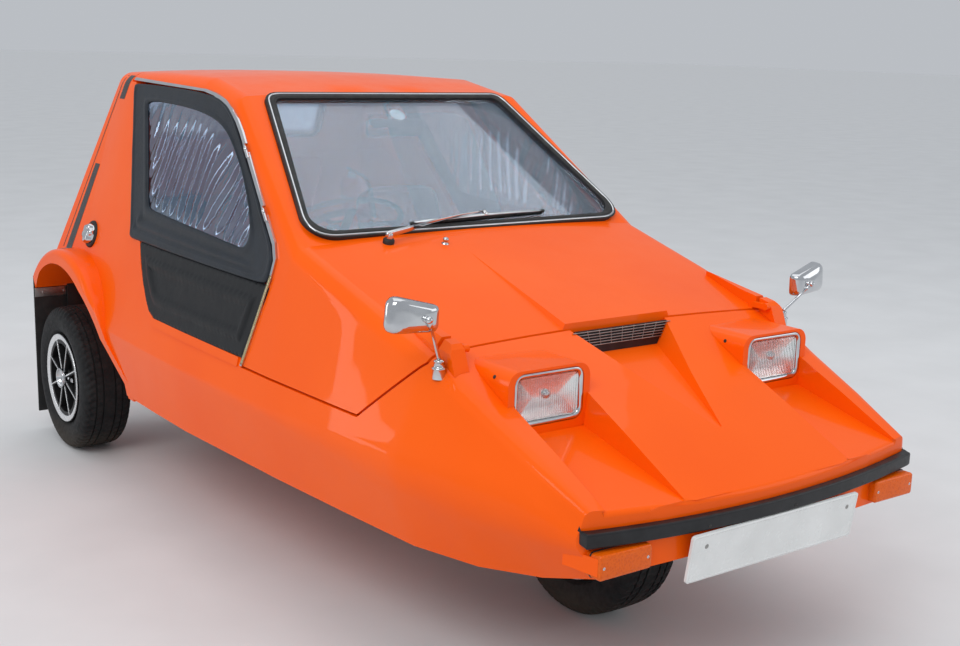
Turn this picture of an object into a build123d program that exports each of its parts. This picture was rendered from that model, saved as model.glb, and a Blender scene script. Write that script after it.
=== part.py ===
from build123d import *
import math
import os

# Three wheeled car with a wedge body, a tilting canopy and soft side screens.
# Millimetres. The origin is on the ground under the middle of the car.
# +Z is up, +Y points to the tail and +X to the car's left side.

# Running gear
WHEELBASE = 1956
REAR_AXLE_Y = 1152
FRONT_AXLE_Y = REAR_AXLE_Y - WHEELBASE
REAR_TRACK = 1219
TYRE_R = 243
TYRE_W = 165
BEAD_R = 127
RIM_LIP_R = 150
RIM_W = 148
KING_PIN_Y = -1100
KING_PIN_R = 18
STUB_R = 20
RIB_COUNT = 8
RIB_W = 7
NUT_COUNT = 4
RUNNING_CLEARANCE = 0.05

# Body
WALL = 20
SHUT_GAP = 6
SEAT_GAP = 0.3
NOSE_Y = -1396
TAIL_Y = 1390
BACK_END_Y = 1406
FRONT_END_Y = -1406
FLARE_X = 698.5

# Outer skin stations from nose to tail. Columns: y, sill z, sill x, crease z, crease x,
# shoulder x, shoulder z, centre z, crease radius, shoulder radius
STATIONS = [
    (NOSE_Y, 388, 462, 442, 492, 488, 492, 494, 28, 12),
    (-1190, 320, 472, 472, 572, 514, 588, 592, 110, 42),
    (-1042, 304, 528, 485, 612, 528, 652, 660, 140, 52),
    (-862, 300, 575, 485, 642, 550, 736, 752, 140, 58),
    (-600, 300, 600, 485, 652, 567, 808, 824, 110, 60),
    (-300, 300, 625, 485, 666, 568, 889, 905, 60, 60),
    (193, 300, 655, 485, 677, 484, 1236, 1246, 24, 46),
    (420, 300, 657, 485, 677, 476, 1278, 1288, 20, 56),
    (800, 300, 655, 485, 671, 470, 1280, 1290, 20, 56),
    (1100, 300, 650, 485, 668, 466, 1270, 1283, 20, 56),
    (TAIL_Y, 330, 645, 485, 664, 636, 592, 600, 20, 30),
]

# Plan of the nose, as (x, y): it bows forward between rounded corners
NOSE_CORNER = (516, -1338)
NOSE_TIP_Y = -1388
NOSE_SIDE_END = (680, -938)
NOSE_CORNER_R = 55
PLAN_MARGIN = 800
PLAN_END_Y = 1500

# Side view lines, as (y, z)
CANOPY_FRONT_Y = -862
CANOPY_FRONT_Z = 718
CANOPY_CORNER_Y = -690
CANOPY_SILL_Z = 568
CANOPY_REAR_Y = 985
DOOR_FRONT_LINE = [(-152, CANOPY_SILL_Z), (-207, 812), (-209, 845), (-186, 882), (120, 1138)]
DOOR_TOP_BEND = (225, 1226)
DOOR_TOP_LINE = [(400, 1240), (958, 1250)]
DOOR_SILL_Z = 586
DOOR_REAR_LOW = (415, DOOR_SILL_Z)
DOOR_REAR_BEND = (515, 640)
DOOR_REAR_LINE = [(585, 714), (950, 1244)]
SCREEN_BOTTOM_Z = 778
BEAD_RISE = 4
BEAD_W = 24
BEAD_TOP = (936, 1224)

# Windscreen and tail planes
SCREEN_FOOT = (0, -296, 903)
SCREEN_HEAD = (0, 193, 1243)
SCREEN_HALF_W_LOW = 535
SCREEN_HALF_W_HIGH = 409
SCREEN_LOW_R = 78
SCREEN_HIGH_R = 50
SEAL_W = 26
SEAL_PROUD = 6
GLASS_T = 6
BULKHEAD_Y = -500


def corner_arc(before, corner, after, radius):
    """The start, middle and end of the arc that rounds a corner between two straight runs."""
    into = (corner - before).normalized()
    out = (after - corner).normalized()
    turn = math.radians(into.get_angle(out))
    reach = radius * math.tan(turn / 2)
    bisector = (out - into).normalized()
    middle = corner + bisector * (radius / math.cos(turn / 2) - radius)
    return corner - into * reach, middle, corner + out * reach


def make_section(y, sill_z, sill_x, crease_z, crease_x, shoulder_x, shoulder_z, centre_z, crease_r, shoulder_r):
    sill = Vector(sill_x, y, sill_z)
    crease = Vector(crease_x, y, crease_z)
    shoulder = Vector(shoulder_x, y, shoulder_z)
    centre = Vector(0, y, centre_z)
    low = corner_arc(sill, crease, shoulder, crease_r)
    high = corner_arc(crease, shoulder, centre, shoulder_r)

    def flip(p):
        return Vector(-p.X, p.Y, p.Z)

    edges = [
        Edge.make_line(flip(sill), sill),
        Edge.make_line(sill, low[0]),
        Edge.make_three_point_arc(*low),
        Edge.make_line(low[2], high[0]),
        Edge.make_three_point_arc(*high),
        Edge.make_three_point_arc(high[2], centre, flip(high[2])),
        Edge.make_three_point_arc(flip(high[2]), flip(high[1]), flip(high[0])),
        Edge.make_line(flip(high[0]), flip(low[2])),
        Edge.make_three_point_arc(flip(low[2]), flip(low[1]), flip(low[0])),
        Edge.make_line(flip(low[0]), flip(sill)),
    ]
    return Face(Wire(edges))


def nose_plan(grow):
    """The car's plan from above, grown outwards, with the bowed front and its rounded corners."""
    half = NOSE_CORNER[0] + grow
    corner_y = NOSE_CORNER[1] - grow
    side_x = NOSE_SIDE_END[0] + grow
    side_y = NOSE_SIDE_END[1]
    with BuildSketch(Plane.XY) as sketch:
        with BuildLine():
            ThreePointArc((-half, corner_y), (0, NOSE_TIP_Y - grow), (half, corner_y))
            Polyline(
                (half, corner_y), (side_x, side_y), (PLAN_MARGIN, side_y), (PLAN_MARGIN, PLAN_END_Y),
                (-PLAN_MARGIN, PLAN_END_Y), (-PLAN_MARGIN, side_y), (-side_x, side_y), (-half, corner_y),
            )
        make_face()
        fillet(sketch.vertices().sort_by(Axis.Y)[:2], NOSE_CORNER_R + grow)
    return sketch.sketch


def body_loft(inset):
    """The car's closed skin, moved inwards by inset."""
    sections = []
    last = len(STATIONS) - 1
    for i, (y, sill_z, sill_x, crease_z, crease_x, shoulder_x, shoulder_z, centre_z, low_r, high_r) in enumerate(STATIONS):
        drop = inset
        if i == last - 1:
            y = y - inset
        if i == last:
            y = y - inset * 1.1
            drop = 0
        sections.append(
            make_section(
                y,
                sill_z + inset,
                sill_x - inset,
                crease_z,
                crease_x - inset,
                shoulder_x - inset,
                shoulder_z - drop,
                centre_z - drop,
                max(low_r - inset * 0.5, 5),
                max(high_r - inset * 0.5, 5),
            )
        )
    hull = Solid(loft(sections, ruled=True).wrapped)
    return hull & extrude(nose_plan(-inset), PLAN_END_Y)


def prism(outline, x_low, x_high):
    """A side view outline of (y, z) points, pulled from x_low to x_high."""
    face = Face(Wire.make_polygon([Vector(x_low, y, z) for y, z in outline], close=True))
    return Solid.extrude(face, Vector(x_high - x_low, 0, 0))


def block(x0, x1, y0, y1, z0, z1):
    return Pos((x0 + x1) / 2, (y0 + y1) / 2, (z0 + z1) / 2) * Box(x1 - x0, y1 - y0, z1 - z0)


def bar(a, b, radius):
    a = Vector(*a)
    b = Vector(*b)
    plane = Plane(origin=a, z_dir=(b - a))
    return plane * Cylinder(radius, (b - a).length, align=(Align.CENTER, Align.CENTER, Align.MIN))


def mirrored(shape):
    return mirror(shape, about=Plane.YZ)


def arc_points(start, bend, end, count):
    """Points of the curve that leaves start and reaches end, pulled towards bend."""
    points = []
    for i in range(count + 1):
        t = i / count
        y = (1 - t) ** 2 * start[0] + 2 * t * (1 - t) * bend[0] + t * t * end[0]
        z = (1 - t) ** 2 * start[1] + 2 * t * (1 - t) * bend[1] + t * t * end[1]
        points.append((y, z))
    return points


def door_front_points():
    return DOOR_FRONT_LINE[:-1] + arc_points(DOOR_FRONT_LINE[-1], DOOR_TOP_BEND, DOOR_TOP_LINE[0], 5)


def canopy_outline():
    top = 1500
    front = [(CANOPY_FRONT_Y, top), (CANOPY_FRONT_Y, CANOPY_FRONT_Z), (CANOPY_CORNER_Y, CANOPY_SILL_Z)]
    rear = [DOOR_TOP_LINE[1], (CANOPY_REAR_Y, DOOR_TOP_LINE[1][1]), (CANOPY_REAR_Y, top)]
    return front + door_front_points() + rear


def tub_cut_outline():
    top = 1500
    front = [
        (CANOPY_FRONT_Y - SHUT_GAP, top),
        (CANOPY_FRONT_Y - SHUT_GAP, CANOPY_FRONT_Z - SHUT_GAP / 2),
        (CANOPY_CORNER_Y - SHUT_GAP / 2, CANOPY_SILL_Z - SHUT_GAP),
        (DOOR_FRONT_LINE[0][0], CANOPY_SILL_Z - SHUT_GAP),
        (DOOR_FRONT_LINE[0][0] + 10, DOOR_SILL_Z),
    ]
    rear = arc_points(DOOR_REAR_LOW, DOOR_REAR_BEND, DOOR_REAR_LINE[0], 5)
    roof_end = CANOPY_REAR_Y + SHUT_GAP
    return front + rear + [DOOR_REAR_LINE[1], (roof_end, DOOR_REAR_LINE[1][1]), (roof_end, top)]


# Rear wheel arch, as (y, z)
ARCH_FRONT = [(610, 200), (645, 335), (800, 450)]
ARCH_TOP = (1120, 640)
ARCH_BACK = [(1392, 515), (1500, 515), (1500, 200)]
ARCH_IN_X = 500
FLARE_LEG = [(590, 290), (612, 345), (752, 452)]
FLARE_TOP = (1112, 688)
FLARE_BACK = (1400, 562)
FLARE_ROOT_X = 575
FLARE_LOW = (290, 652)
FLARE_FULL = (585, FLARE_X)
FLARE_EDGE_R = 20
REAR_FLOOR_Z = 400
REAR_FLOOR_Y = 950


def arch_face(x):
    def at(p):
        return Vector(x, p[0], p[1])

    edges = [
        Edge.make_line(at(ARCH_FRONT[0]), at(ARCH_FRONT[1])),
        Edge.make_line(at(ARCH_FRONT[1]), at(ARCH_FRONT[2])),
        Edge.make_three_point_arc(at(ARCH_FRONT[2]), at(ARCH_TOP), at(ARCH_BACK[0])),
        Edge.make_line(at(ARCH_BACK[0]), at(ARCH_BACK[1])),
        Edge.make_line(at(ARCH_BACK[1]), at(ARCH_BACK[2])),
        Edge.make_line(at(ARCH_BACK[2]), at(ARCH_FRONT[0])),
    ]
    return Face(Wire(edges))


def arch_void(grow):
    face = arch_face(ARCH_IN_X - grow)
    solid = Solid.extrude(face, Vector(260 + grow, 0, 0))
    if grow:
        solid = offset(solid, amount=grow, kind=Kind.INTERSECTION)
    return solid


def flare_solid():
    """The brow over the wheel, whose front leg runs down the opening's edge and fades at the sill."""
    def at(p):
        return Vector(FLARE_ROOT_X, p[0], p[1])

    foot_z = FLARE_LEG[0][1]
    low_back = (FLARE_BACK[0], foot_z)
    edges = [
        Edge.make_line(at(FLARE_LEG[0]), at(FLARE_LEG[1])),
        Edge.make_line(at(FLARE_LEG[1]), at(FLARE_LEG[2])),
        Edge.make_three_point_arc(at(FLARE_LEG[2]), at(FLARE_TOP), at(FLARE_BACK)),
        Edge.make_line(at(FLARE_BACK), at(low_back)),
        Edge.make_line(at(low_back), at(FLARE_LEG[0])),
    ]
    band = Solid.extrude(Face(Wire(edges)), Vector(FLARE_X - FLARE_ROOT_X, 0, 0))
    rim = band.faces().sort_by(Axis.X)[-1].edges().filter_by(GeomType.CIRCLE)
    band = fillet(rim, FLARE_EDGE_R)
    profile = [
        (FLARE_ROOT_X, foot_z),
        (FLARE_LOW[1], foot_z),
        (FLARE_FULL[1], FLARE_FULL[0]),
        (FLARE_FULL[1], FLARE_TOP[1] + 1),
        (FLARE_ROOT_X, FLARE_TOP[1] + 1),
    ]
    face = Face(Wire.make_polygon([Vector(x, 500, z) for x, z in profile], close=True))
    return band & Solid.extrude(face, Vector(0, 1000, 0))


# Nose deck forms
CHANNEL_X = (257, 453)
CHANNEL_FLARE = (24, 6)
CHANNEL_FRONT = (-1372, 503)
CHANNEL_BACK = (-1025, 586)
POD_FACE_Y = -1050
POD_FOOT_Z = 578
POD_TOP_Z = 724
POD_REAR_Y = -880
POD_X = (244, 470)
POD_CORNER_R = 32
LAMP_X = 357
LAMP_Z = 658
LAMP_W = 190
LAMP_H = 118
LAMP_R = 27
LAMP_DEPTH = 12
POCKET_DEPTH = 18
BULGE_FRONT_HALF = 164
BULGE_REAR_HALF = 128
BULGE_REAR_Y = -365
BULGE_RISE = 12
SCOOP_HALF_TOP = 163
SCOOP_HALF_LOW = 130
SCOOP_TOP_Z = 751
SCOOP_LOW_Z = 697
VALLEY_TIP_Y = -1215


def channel_void(grow):
    """The recess in front of a lamp pod, fading out at the nose."""
    top = 820
    sections = []
    for y, floor in (CHANNEL_FRONT, CHANNEL_BACK):
        y = y + grow if y == CHANNEL_BACK[0] else y
        low_in = CHANNEL_X[0] - grow
        low_out = CHANNEL_X[1] + grow
        corners = [
            Vector(low_in, y, floor - grow),
            Vector(low_out, y, floor - grow),
            Vector(low_out + CHANNEL_FLARE[1], y, top),
            Vector(low_in - CHANNEL_FLARE[0], y, top),
        ]
        sections.append(Face(Wire.make_polygon(corners, close=True)))
    return Solid(loft(sections, ruled=True).wrapped)


def valley_void(grow):
    y = CANOPY_FRONT_Y + 12
    back = Wire.make_polygon(
        [
            Vector(-SCOOP_HALF_LOW - grow, y, SCOOP_LOW_Z - grow),
            Vector(SCOOP_HALF_LOW + grow, y, SCOOP_LOW_Z - grow),
            Vector(SCOOP_HALF_TOP + grow, y, SCOOP_TOP_Z + 10),
            Vector(-SCOOP_HALF_TOP - grow, y, SCOOP_TOP_Z + 10),
        ],
        close=True,
    )
    tip = 6
    front = Wire.make_polygon(
        [
            Vector(-tip - grow, VALLEY_TIP_Y, 578 - grow),
            Vector(tip + grow, VALLEY_TIP_Y, 578 - grow),
            Vector(tip + grow + 4, VALLEY_TIP_Y, 600),
            Vector(-tip - grow - 4, VALLEY_TIP_Y, 600),
        ],
        close=True,
    )
    return Solid(loft([Face(back), Face(front)], ruled=True).wrapped)


def under_voids(grow):
    """Engine bay, shaft tunnel and the raised floor over the rear axle."""
    bay = block(-190 - grow, 190 + grow, -440 - grow, 350 + grow, 200, 536 + grow)
    tunnel = block(-75 - grow, 75 + grow, 340, 960, 200, 400 + grow)
    rear = block(-ARCH_IN_X - 1, ARCH_IN_X + 1, REAR_FLOOR_Y - grow, TAIL_Y - WALL, 200, REAR_FLOOR_Z + grow)
    return [bay, tunnel, rear]


# Plan of the fairing beside each front lamp, as (x, y)
LAMP_FAIRING = [(470, -1345), (490.5, -1378), (506, -1290), (480, -1290)]


def build_shell():
    outer = body_loft(0)
    inner = body_loft(WALL)
    cuts = [channel_void(0), mirrored(channel_void(0)), valley_void(0), arch_void(0), mirrored(arch_void(0))]
    cuts += under_voids(0)
    grown = [channel_void(WALL), mirrored(channel_void(WALL)), valley_void(WALL)]
    grown += [arch_void(WALL), mirrored(arch_void(WALL))]
    grown += under_voids(WALL)
    flare = flare_solid()
    outer = outer + flare + mirrored(flare)
    for cut in cuts:
        outer = outer - cut
    for cut in grown:
        inner = inner - cut
    shell = outer - inner
    for sign in (-1, 1):
        corners = [Vector(sign * x, y, 393) for x, y in LAMP_FAIRING]
        shell = shell + Solid.extrude(Face(Wire.make_polygon(corners, close=True)), Vector(0, 0, 36))
    slab = body_loft(2) & block(-700, 700, BULKHEAD_Y, BULKHEAD_Y + WALL, 250, CANOPY_SILL_Z - SHUT_GAP)
    shell = shell + slab
    front_open = [
        Vector(-555, BULKHEAD_Y, 0),
        Vector(555, BULKHEAD_Y, 0),
        Vector(540, -862, 0),
        Vector(440, -1190, 0),
        Vector(425, -1325, 0),
        Vector(-425, -1325, 0),
        Vector(-440, -1190, 0),
        Vector(-540, -862, 0),
    ]
    opening = Solid.extrude(Face(Wire.make_polygon(front_open, close=True)), Vector(0, 0, 420))
    return shell - opening


def bonnet_bulge():
    """The raised middle of the canopy's front, which fades out below the windscreen."""
    sections = []
    for y, half, low, high in (
        (CANOPY_FRONT_Y, BULGE_FRONT_HALF, 736, 751 + BULGE_RISE),
        (BULGE_REAR_Y, BULGE_REAR_HALF, 870, 885),
    ):
        foot = half + 14
        corners = [Vector(-foot, y, low), Vector(foot, y, low), Vector(half, y, high), Vector(-half, y, high)]
        sections.append(Face(Wire.make_polygon(corners, close=True)))
    return Solid(loft(sections, ruled=True).wrapped)


def screen_plane():
    foot = Vector(*SCREEN_FOOT)
    up = Vector(*SCREEN_HEAD) - foot
    return Plane(origin=foot, x_dir=(1, 0, 0), z_dir=Vector(1, 0, 0).cross(up.normalized()))


def screen_outline(inset):
    length = (Vector(*SCREEN_HEAD) - Vector(*SCREEN_FOOT)).length
    low = SCREEN_HALF_W_LOW - inset
    high = SCREEN_HALF_W_HIGH - inset
    points = [(-low, inset), (low, inset), (high, length - inset), (-high, length - inset)]
    sketch = Polygon(*points, align=None)
    bottom = sketch.vertices().sort_by(Axis.Y)[:2]
    sketch = fillet(bottom, SCREEN_LOW_R - inset * 0.8)
    top = [v for v in sketch.vertices() if abs(abs(v.X) - high) < 0.5 and v.Y > length / 2]
    return fillet(top, SCREEN_HIGH_R - inset * 0.8)


def screen_slab(inset, low, high):
    return screen_plane() * (Pos(0, 0, low) * extrude(screen_outline(inset), high - low))


def tail_plane():
    top = Vector(0, STATIONS[-2][0], STATIONS[-2][6])
    foot = Vector(0, STATIONS[-1][0], STATIONS[-1][6])
    down = (foot - top).normalized()
    return Plane(origin=top, x_dir=(-1, 0, 0), z_dir=Vector(1, 0, 0).cross(down))


REAR_GLASS_W = 640
REAR_GLASS_H = 170
REAR_GLASS_DROP = 75
BOOT_W = 720
BOOT_H = 330
BOOT_DROP = 330
BOOT_GAP = 5


def tail_rect(width, height, drop, radius, low, high):
    slab = extrude(RectangleRounded(width, height, radius), high - low)
    return tail_plane() * (Pos(0, -drop - height / 2, low) * slab)


def build_body():
    shell = build_shell()
    canopy = shell & prism(canopy_outline(), -800, 800)
    canopy = canopy - screen_slab(-SEAT_GAP, -60, 60)
    tub = shell - prism(tub_cut_outline(), -800, 800)
    tub = tub - tail_rect(REAR_GLASS_W, REAR_GLASS_H, REAR_GLASS_DROP, 40, -60, 60)
    tub = tub - tail_rect(BOOT_W, BOOT_H, BOOT_DROP, 30, -60, 60)
    for barrel in boot_hinge_barrels(6 + SEAT_GAP):
        tub = tub - barrel
    lug = hinge_lug()
    hump = fairing_block(CANOPY_FRONT_Y, FAIRING_TIP_Y, CANOPY_FRONT_Z + 2)
    canopy = canopy + lug + mirrored(lug) + bonnet_bulge() + hump + mirrored(hump)
    bead = door_bead(1)
    tub = tub + bead + mirrored(bead)
    return tub, canopy


def tyre_solid():
    half = TYRE_W / 2
    bead = RIM_W / 2 - 12
    with BuildSketch(Plane.XY) as sketch:
        with BuildLine():
            Polyline((-bead, BEAD_R), (bead, BEAD_R), (bead, RIM_LIP_R + 1))
            ThreePointArc((bead, RIM_LIP_R + 1), (half, (RIM_LIP_R + TYRE_R) / 2), (half - 16, TYRE_R - 10))
            ThreePointArc((half - 16, TYRE_R - 10), (half - 21, TYRE_R - 3), (half - 30, TYRE_R))
            Line((half - 30, TYRE_R), (-half + 30, TYRE_R))
            ThreePointArc((-half + 30, TYRE_R), (-half + 21, TYRE_R - 3), (-half + 16, TYRE_R - 10))
            ThreePointArc((-half + 16, TYRE_R - 10), (-half, (RIM_LIP_R + TYRE_R) / 2), (-bead, RIM_LIP_R + 1))
            Line((-bead, RIM_LIP_R + 1), (-bead, BEAD_R))
        make_face()
    return revolve(sketch.sketch, Axis.X)


def rim_solid():
    half = RIM_W / 2
    inner = BEAD_R - 9
    seat = BEAD_R - SEAT_GAP
    profile = Polygon(
        (-half, inner), (half, inner), (half, RIM_LIP_R), (half - 10, RIM_LIP_R), (half - 10, seat),
        (-half + 10, seat), (-half + 10, RIM_LIP_R), (-half, RIM_LIP_R), align=None,
    )
    barrel = revolve(profile, Axis.X)
    disc_x = 44
    disc_t = 14
    disc = Pos(disc_x, 0, 0) * (Rot(0, 90, 0) * Cylinder(inner + 4, disc_t))
    slot = Pos(disc_x, 0, 0) * (Rot(0, 90, 0) * extrude(SlotOverall(46, 26), 40, both=True))
    disc = disc - [Rot(360 / 8 * i, 0, 0) * (Pos(0, 0, 86) * slot) for i in range(8)]
    hub = Rot(0, 90, 0) * (Pos(0, 0, 25.5) * Cylinder(38, 69))
    rim = barrel + disc + hub
    rib = Pos(disc_x + disc_t / 2 + 3, 0, (38 + inner) / 2) * Box(8, RIB_W, inner - 34)
    for i in range(RIB_COUNT):
        rim = rim + Rot(360 / RIB_COUNT * (i + 0.5), 0, 0) * rib
    nut = Rot(0, 90, 0) * (Pos(0, 0, disc_x + disc_t / 2 - 1) * extrude(RegularPolygon(9, 6), 13))
    for i in range(NUT_COUNT):
        rim = rim + Rot(360 / NUT_COUNT * i, 0, 0) * (Pos(0, 0, 54) * nut)
    return rim - (Rot(0, 90, 0) * (Pos(0, 0, 5) * Cylinder(STUB_R + RUNNING_CLEARANCE, 50)))


def at_wheel(shape, x, y, outward):
    if outward < 0:
        shape = mirrored(shape)
    return Pos(x, y, TYRE_R) * shape


def chassis_solid():
    rail_x = 230
    low = 237
    high = 299.7
    parts = []
    for s in (-1, 1):
        parts.append(block(s * rail_x - 20, s * rail_x + 20, -560, 995, low, high))
        parts.append(block(s * rail_x - 20, s * rail_x + 20, 955, 995, low, 399.7))
        parts.append(block(s * rail_x - 20, s * rail_x + 20, -560, -520, low, 555))
        run = Vector(-s * rail_x, KING_PIN_Y + 540, 0)
        angle = math.degrees(math.atan2(run.Y, run.X))
        beam = Rot(0, 0, angle) * Box(run.length, 36, 40, align=(Align.MIN, Align.CENTER, Align.MIN))
        parts.append(Pos(s * rail_x, -540, 515) * beam)
    parts.append(block(-rail_x, rail_x, -540, -502, low, high))
    parts.append(block(-rail_x, rail_x, 375, 405, low, 290))
    parts.append(block(-rail_x, rail_x, 955, 995, 345, 399.7))
    head = Pos(0, KING_PIN_Y, 440) * Cylinder(34, 230)
    frame = parts[0]
    for p in parts[1:] + [head]:
        frame = frame + p
    return frame - Pos(0, KING_PIN_Y, 440) * Cylinder(KING_PIN_R + RUNNING_CLEARANCE, 300)


def front_arm_solid():
    arm_x = 140
    pin = Pos(0, KING_PIN_Y, 423) * Cylinder(KING_PIN_R, 276)
    foot = Pos(0, KING_PIN_Y, 300) * Cylinder(36, 46)
    cap = Pos(0, KING_PIN_Y, 564) * Cylinder(26, 14)
    a = (0, KING_PIN_Y, 295)
    b = (arm_x - 10, KING_PIN_Y + 45, 285)
    c = (arm_x, FRONT_AXLE_Y, TYRE_R)
    arm = bar(a, b, 21) + bar(b, c, 21)
    for p in (b, c):
        arm = arm + Pos(*p) * Sphere(21)
    stub = bar((arm_x, FRONT_AXLE_Y, TYRE_R), (-18, FRONT_AXLE_Y, TYRE_R), STUB_R)
    drum = bar((arm_x - 20, FRONT_AXLE_Y, TYRE_R), (20, FRONT_AXLE_Y, TYRE_R), 90)
    return pin + foot + cap + arm + stub + drum


def rear_axle_solid():
    half = REAR_TRACK / 2
    tube = bar((-half + 60, REAR_AXLE_Y, TYRE_R), (half - 60, REAR_AXLE_Y, TYRE_R), 32)
    stub = bar((-half - 18, REAR_AXLE_Y, TYRE_R), (half + 18, REAR_AXLE_Y, TYRE_R), STUB_R)
    pot = Pos(0, REAR_AXLE_Y, TYRE_R) * Sphere(98)
    nose = bar((0, REAR_AXLE_Y - 170, TYRE_R), (0, REAR_AXLE_Y, TYRE_R), 45)
    axle = tube + stub + pot + nose
    for s in (-1, 1):
        axle = axle + bar((s * (half - 75), REAR_AXLE_Y, TYRE_R), (s * (half - 20), REAR_AXLE_Y, TYRE_R), 96)
    return axle


NODES = {}


def add(name, shape):
    NODES[name] = shape


def side_x(y, z):
    rows = STATIONS
    for a, b in zip(rows[:-1], rows[1:]):
        if a[0] <= y <= b[0]:
            t = (y - a[0]) / (b[0] - a[0])
            crease_z, crease_x, top_x, top_z = [p + t * (q - p) for p, q in zip(a[3:7], b[3:7])]
            return crease_x + (top_x - crease_x) * (z - crease_z) / (top_z - crease_z)
    return rows[-1][4]


def skin(outside, inside):
    return body_loft(outside) - body_loft(inside)


def half_prism(outline, sign):
    return prism(outline, 380, 800) if sign > 0 else prism(outline, -800, -380)


# The clear window in each side screen, as (y, z)
WINDOW = [
    (-20, 850), (-52, 872), (-50, 920), (41, 1030), (150, 1108), (222, 1146),
    (296, 1168), (420, 1184), (686, 1194), (800, 1183), (620, 880),
]


def screens_and_panels(tag, sign):
    gap = SHUT_GAP
    front = door_front_points()
    inner_front = [(y + gap, z - gap * 0.6) for y, z in front]
    rear = DOOR_REAR_LINE
    slope = (rear[1][0] - rear[0][0]) / (rear[1][1] - rear[0][1])

    def rear_y(z):
        return rear[0][0] + (z - rear[0][1]) * slope

    step = 4
    foot_z = SCREEN_BOTTOM_Z + step
    inside = [p for p in inner_front if p[1] > foot_z]
    start = (inner_front[1][0] - (inner_front[1][0] - inner_front[0][0]) * 0.2, foot_z)
    inside = [start] + inside + [(rear_y(1236) - gap - 4, 1238), (rear_y(foot_z) - gap - 2, foot_z)]
    low_rear = rear_y(SCREEN_BOTTOM_Z)
    flap = [(start[0], SCREEN_BOTTOM_Z)] + inside[1:-2]
    flap += [(rear_y(1235) - 6, 1238), (rear_y(1210) + 6, 1210)]
    flap += [(low_rear + 90, SCREEN_BOTTOM_Z + 24), (low_rear + 88, SCREEN_BOTTOM_Z)]
    inner_skin = skin(-9, 14)
    flap_skin = skin(-9, -SEAT_GAP)
    frame = (inner_skin & half_prism(inside, sign)) + (flap_skin & half_prism(flap, sign))
    frame = frame - door_bead(sign, SEAT_GAP)
    hole = half_prism(WINDOW, sign)
    frame = frame - hole
    glass = skin(-2, 3) & half_prism(WINDOW, sign)
    for knuckle in frame_knuckles():
        frame = frame + (knuckle if sign > 0 else mirrored(knuckle))
    add("screen_frame_" + tag, frame)
    add("screen_window_" + tag, glass)
    lean = (front[1][0] - front[0][0]) / (front[1][1] - front[0][1])

    def front_y(z):
        return front[0][0] + (z - front[0][1]) * lean + SEAT_GAP

    panel_low = DOOR_SILL_Z + gap
    panel_front = [(front_y(panel_low), panel_low), (front_y(SCREEN_BOTTOM_Z - step), SCREEN_BOTTOM_Z - step)]
    low = arc_points(
        (DOOR_REAR_LOW[0] - gap, DOOR_SILL_Z + gap),
        (DOOR_REAR_BEND[0] - gap, DOOR_REAR_BEND[1] + gap),
        (rear[0][0] - gap * 1.5, rear[0][1] + gap), 5,
    )
    panel = [panel_front[1], panel_front[0]] + low + [(rear_y(SCREEN_BOTTOM_Z) - gap * 1.6, SCREEN_BOTTOM_Z - step)]
    add("lower_panel_" + tag, skin(1, 17) & half_prism(panel, sign))


def door_bead(sign, grow=0):
    """The raised lip round the rear and foot of the door opening."""
    low = arc_points(DOOR_REAR_LOW, DOOR_REAR_BEND, DOOR_REAR_LINE[0], 5)
    run = [(DOOR_FRONT_LINE[0][0] + 16, DOOR_SILL_Z)] + low + [BEAD_TOP]
    inner = []
    outer = []
    for i, (y, z) in enumerate(run):
        a = Vector(*run[max(i - 1, 0)], 0)
        b = Vector(*run[min(i + 1, len(run) - 1)], 0)
        along = (b - a).normalized()
        inner.append((y - along.Y * grow, z + along.X * grow))
        outer.append((y + along.Y * (BEAD_W + grow), z - along.X * (BEAD_W + grow)))
    return skin(-BEAD_RISE - grow, 6) & half_prism(inner + outer[::-1], sign)


def canopy_trim(sign):
    line = door_front_points() + [DOOR_TOP_LINE[1]]
    shifted = [(y - 11, z + 7) for y, z in line]
    shifted[0] = (line[0][0] - 12, line[0][1])
    shifted[-1] = (line[-1][0], line[-1][1] + 9)
    band = line + shifted[::-1]
    strip = skin(-5, -SEAT_GAP) & half_prism(band, sign)
    low = Vector(*SCREEN_HINGE_LOW)
    line = (Vector(*SCREEN_HINGE_HIGH) - low).normalized()
    hull = body_loft(-SEAT_GAP)
    for t in SCREEN_KNUCKLES:
        a = low + line * (t + KNUCKLE_LENGTH - 4)
        b = low + line * (t + 2 * KNUCKLE_LENGTH + 4)
        notch = bar(a, b, 12)
        knuckle = screen_knuckle(t, t + KNUCKLE_LENGTH, 0, 14)
        if sign < 0:
            notch = mirrored(notch)
            knuckle = mirrored(knuckle)
        strip = (strip - notch) + (knuckle - hull)
    return strip


def lamp_face(depth):
    return Plane(origin=(LAMP_X, POD_FACE_Y + depth, LAMP_Z), x_dir=(1, 0, 0), z_dir=(0, -1, 0))


def pod_solid():
    """The lamp housing: a wedge on the deck whose rounded face reaches down into the channel."""
    middle = (sum(POD_X) / 2, POD_FACE_Y, (POD_TOP_Z + POD_FOOT_Z) / 2)
    face = Plane(origin=middle, x_dir=(1, 0, 0), z_dir=(0, 1, 0))
    outline = RectangleRounded(POD_X[1] - POD_X[0], POD_TOP_Z - POD_FOOT_Z, POD_CORNER_R)
    housing = Solid((face * extrude(outline, POD_REAR_Y - POD_FACE_Y)).solid().wrapped)
    wedge = housing - body_loft(-SEAT_GAP)
    slab = block(200, 500, POD_FACE_Y, CHANNEL_BACK[0] - SEAT_GAP, 500, 800)
    lip = housing & slab & channel_void(-SEAT_GAP)
    pocket = lamp_face(POCKET_DEPTH) * extrude(RectangleRounded(LAMP_W + 2, LAMP_H + 2, LAMP_R + 1), 40)
    return wedge + lip - pocket


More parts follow.
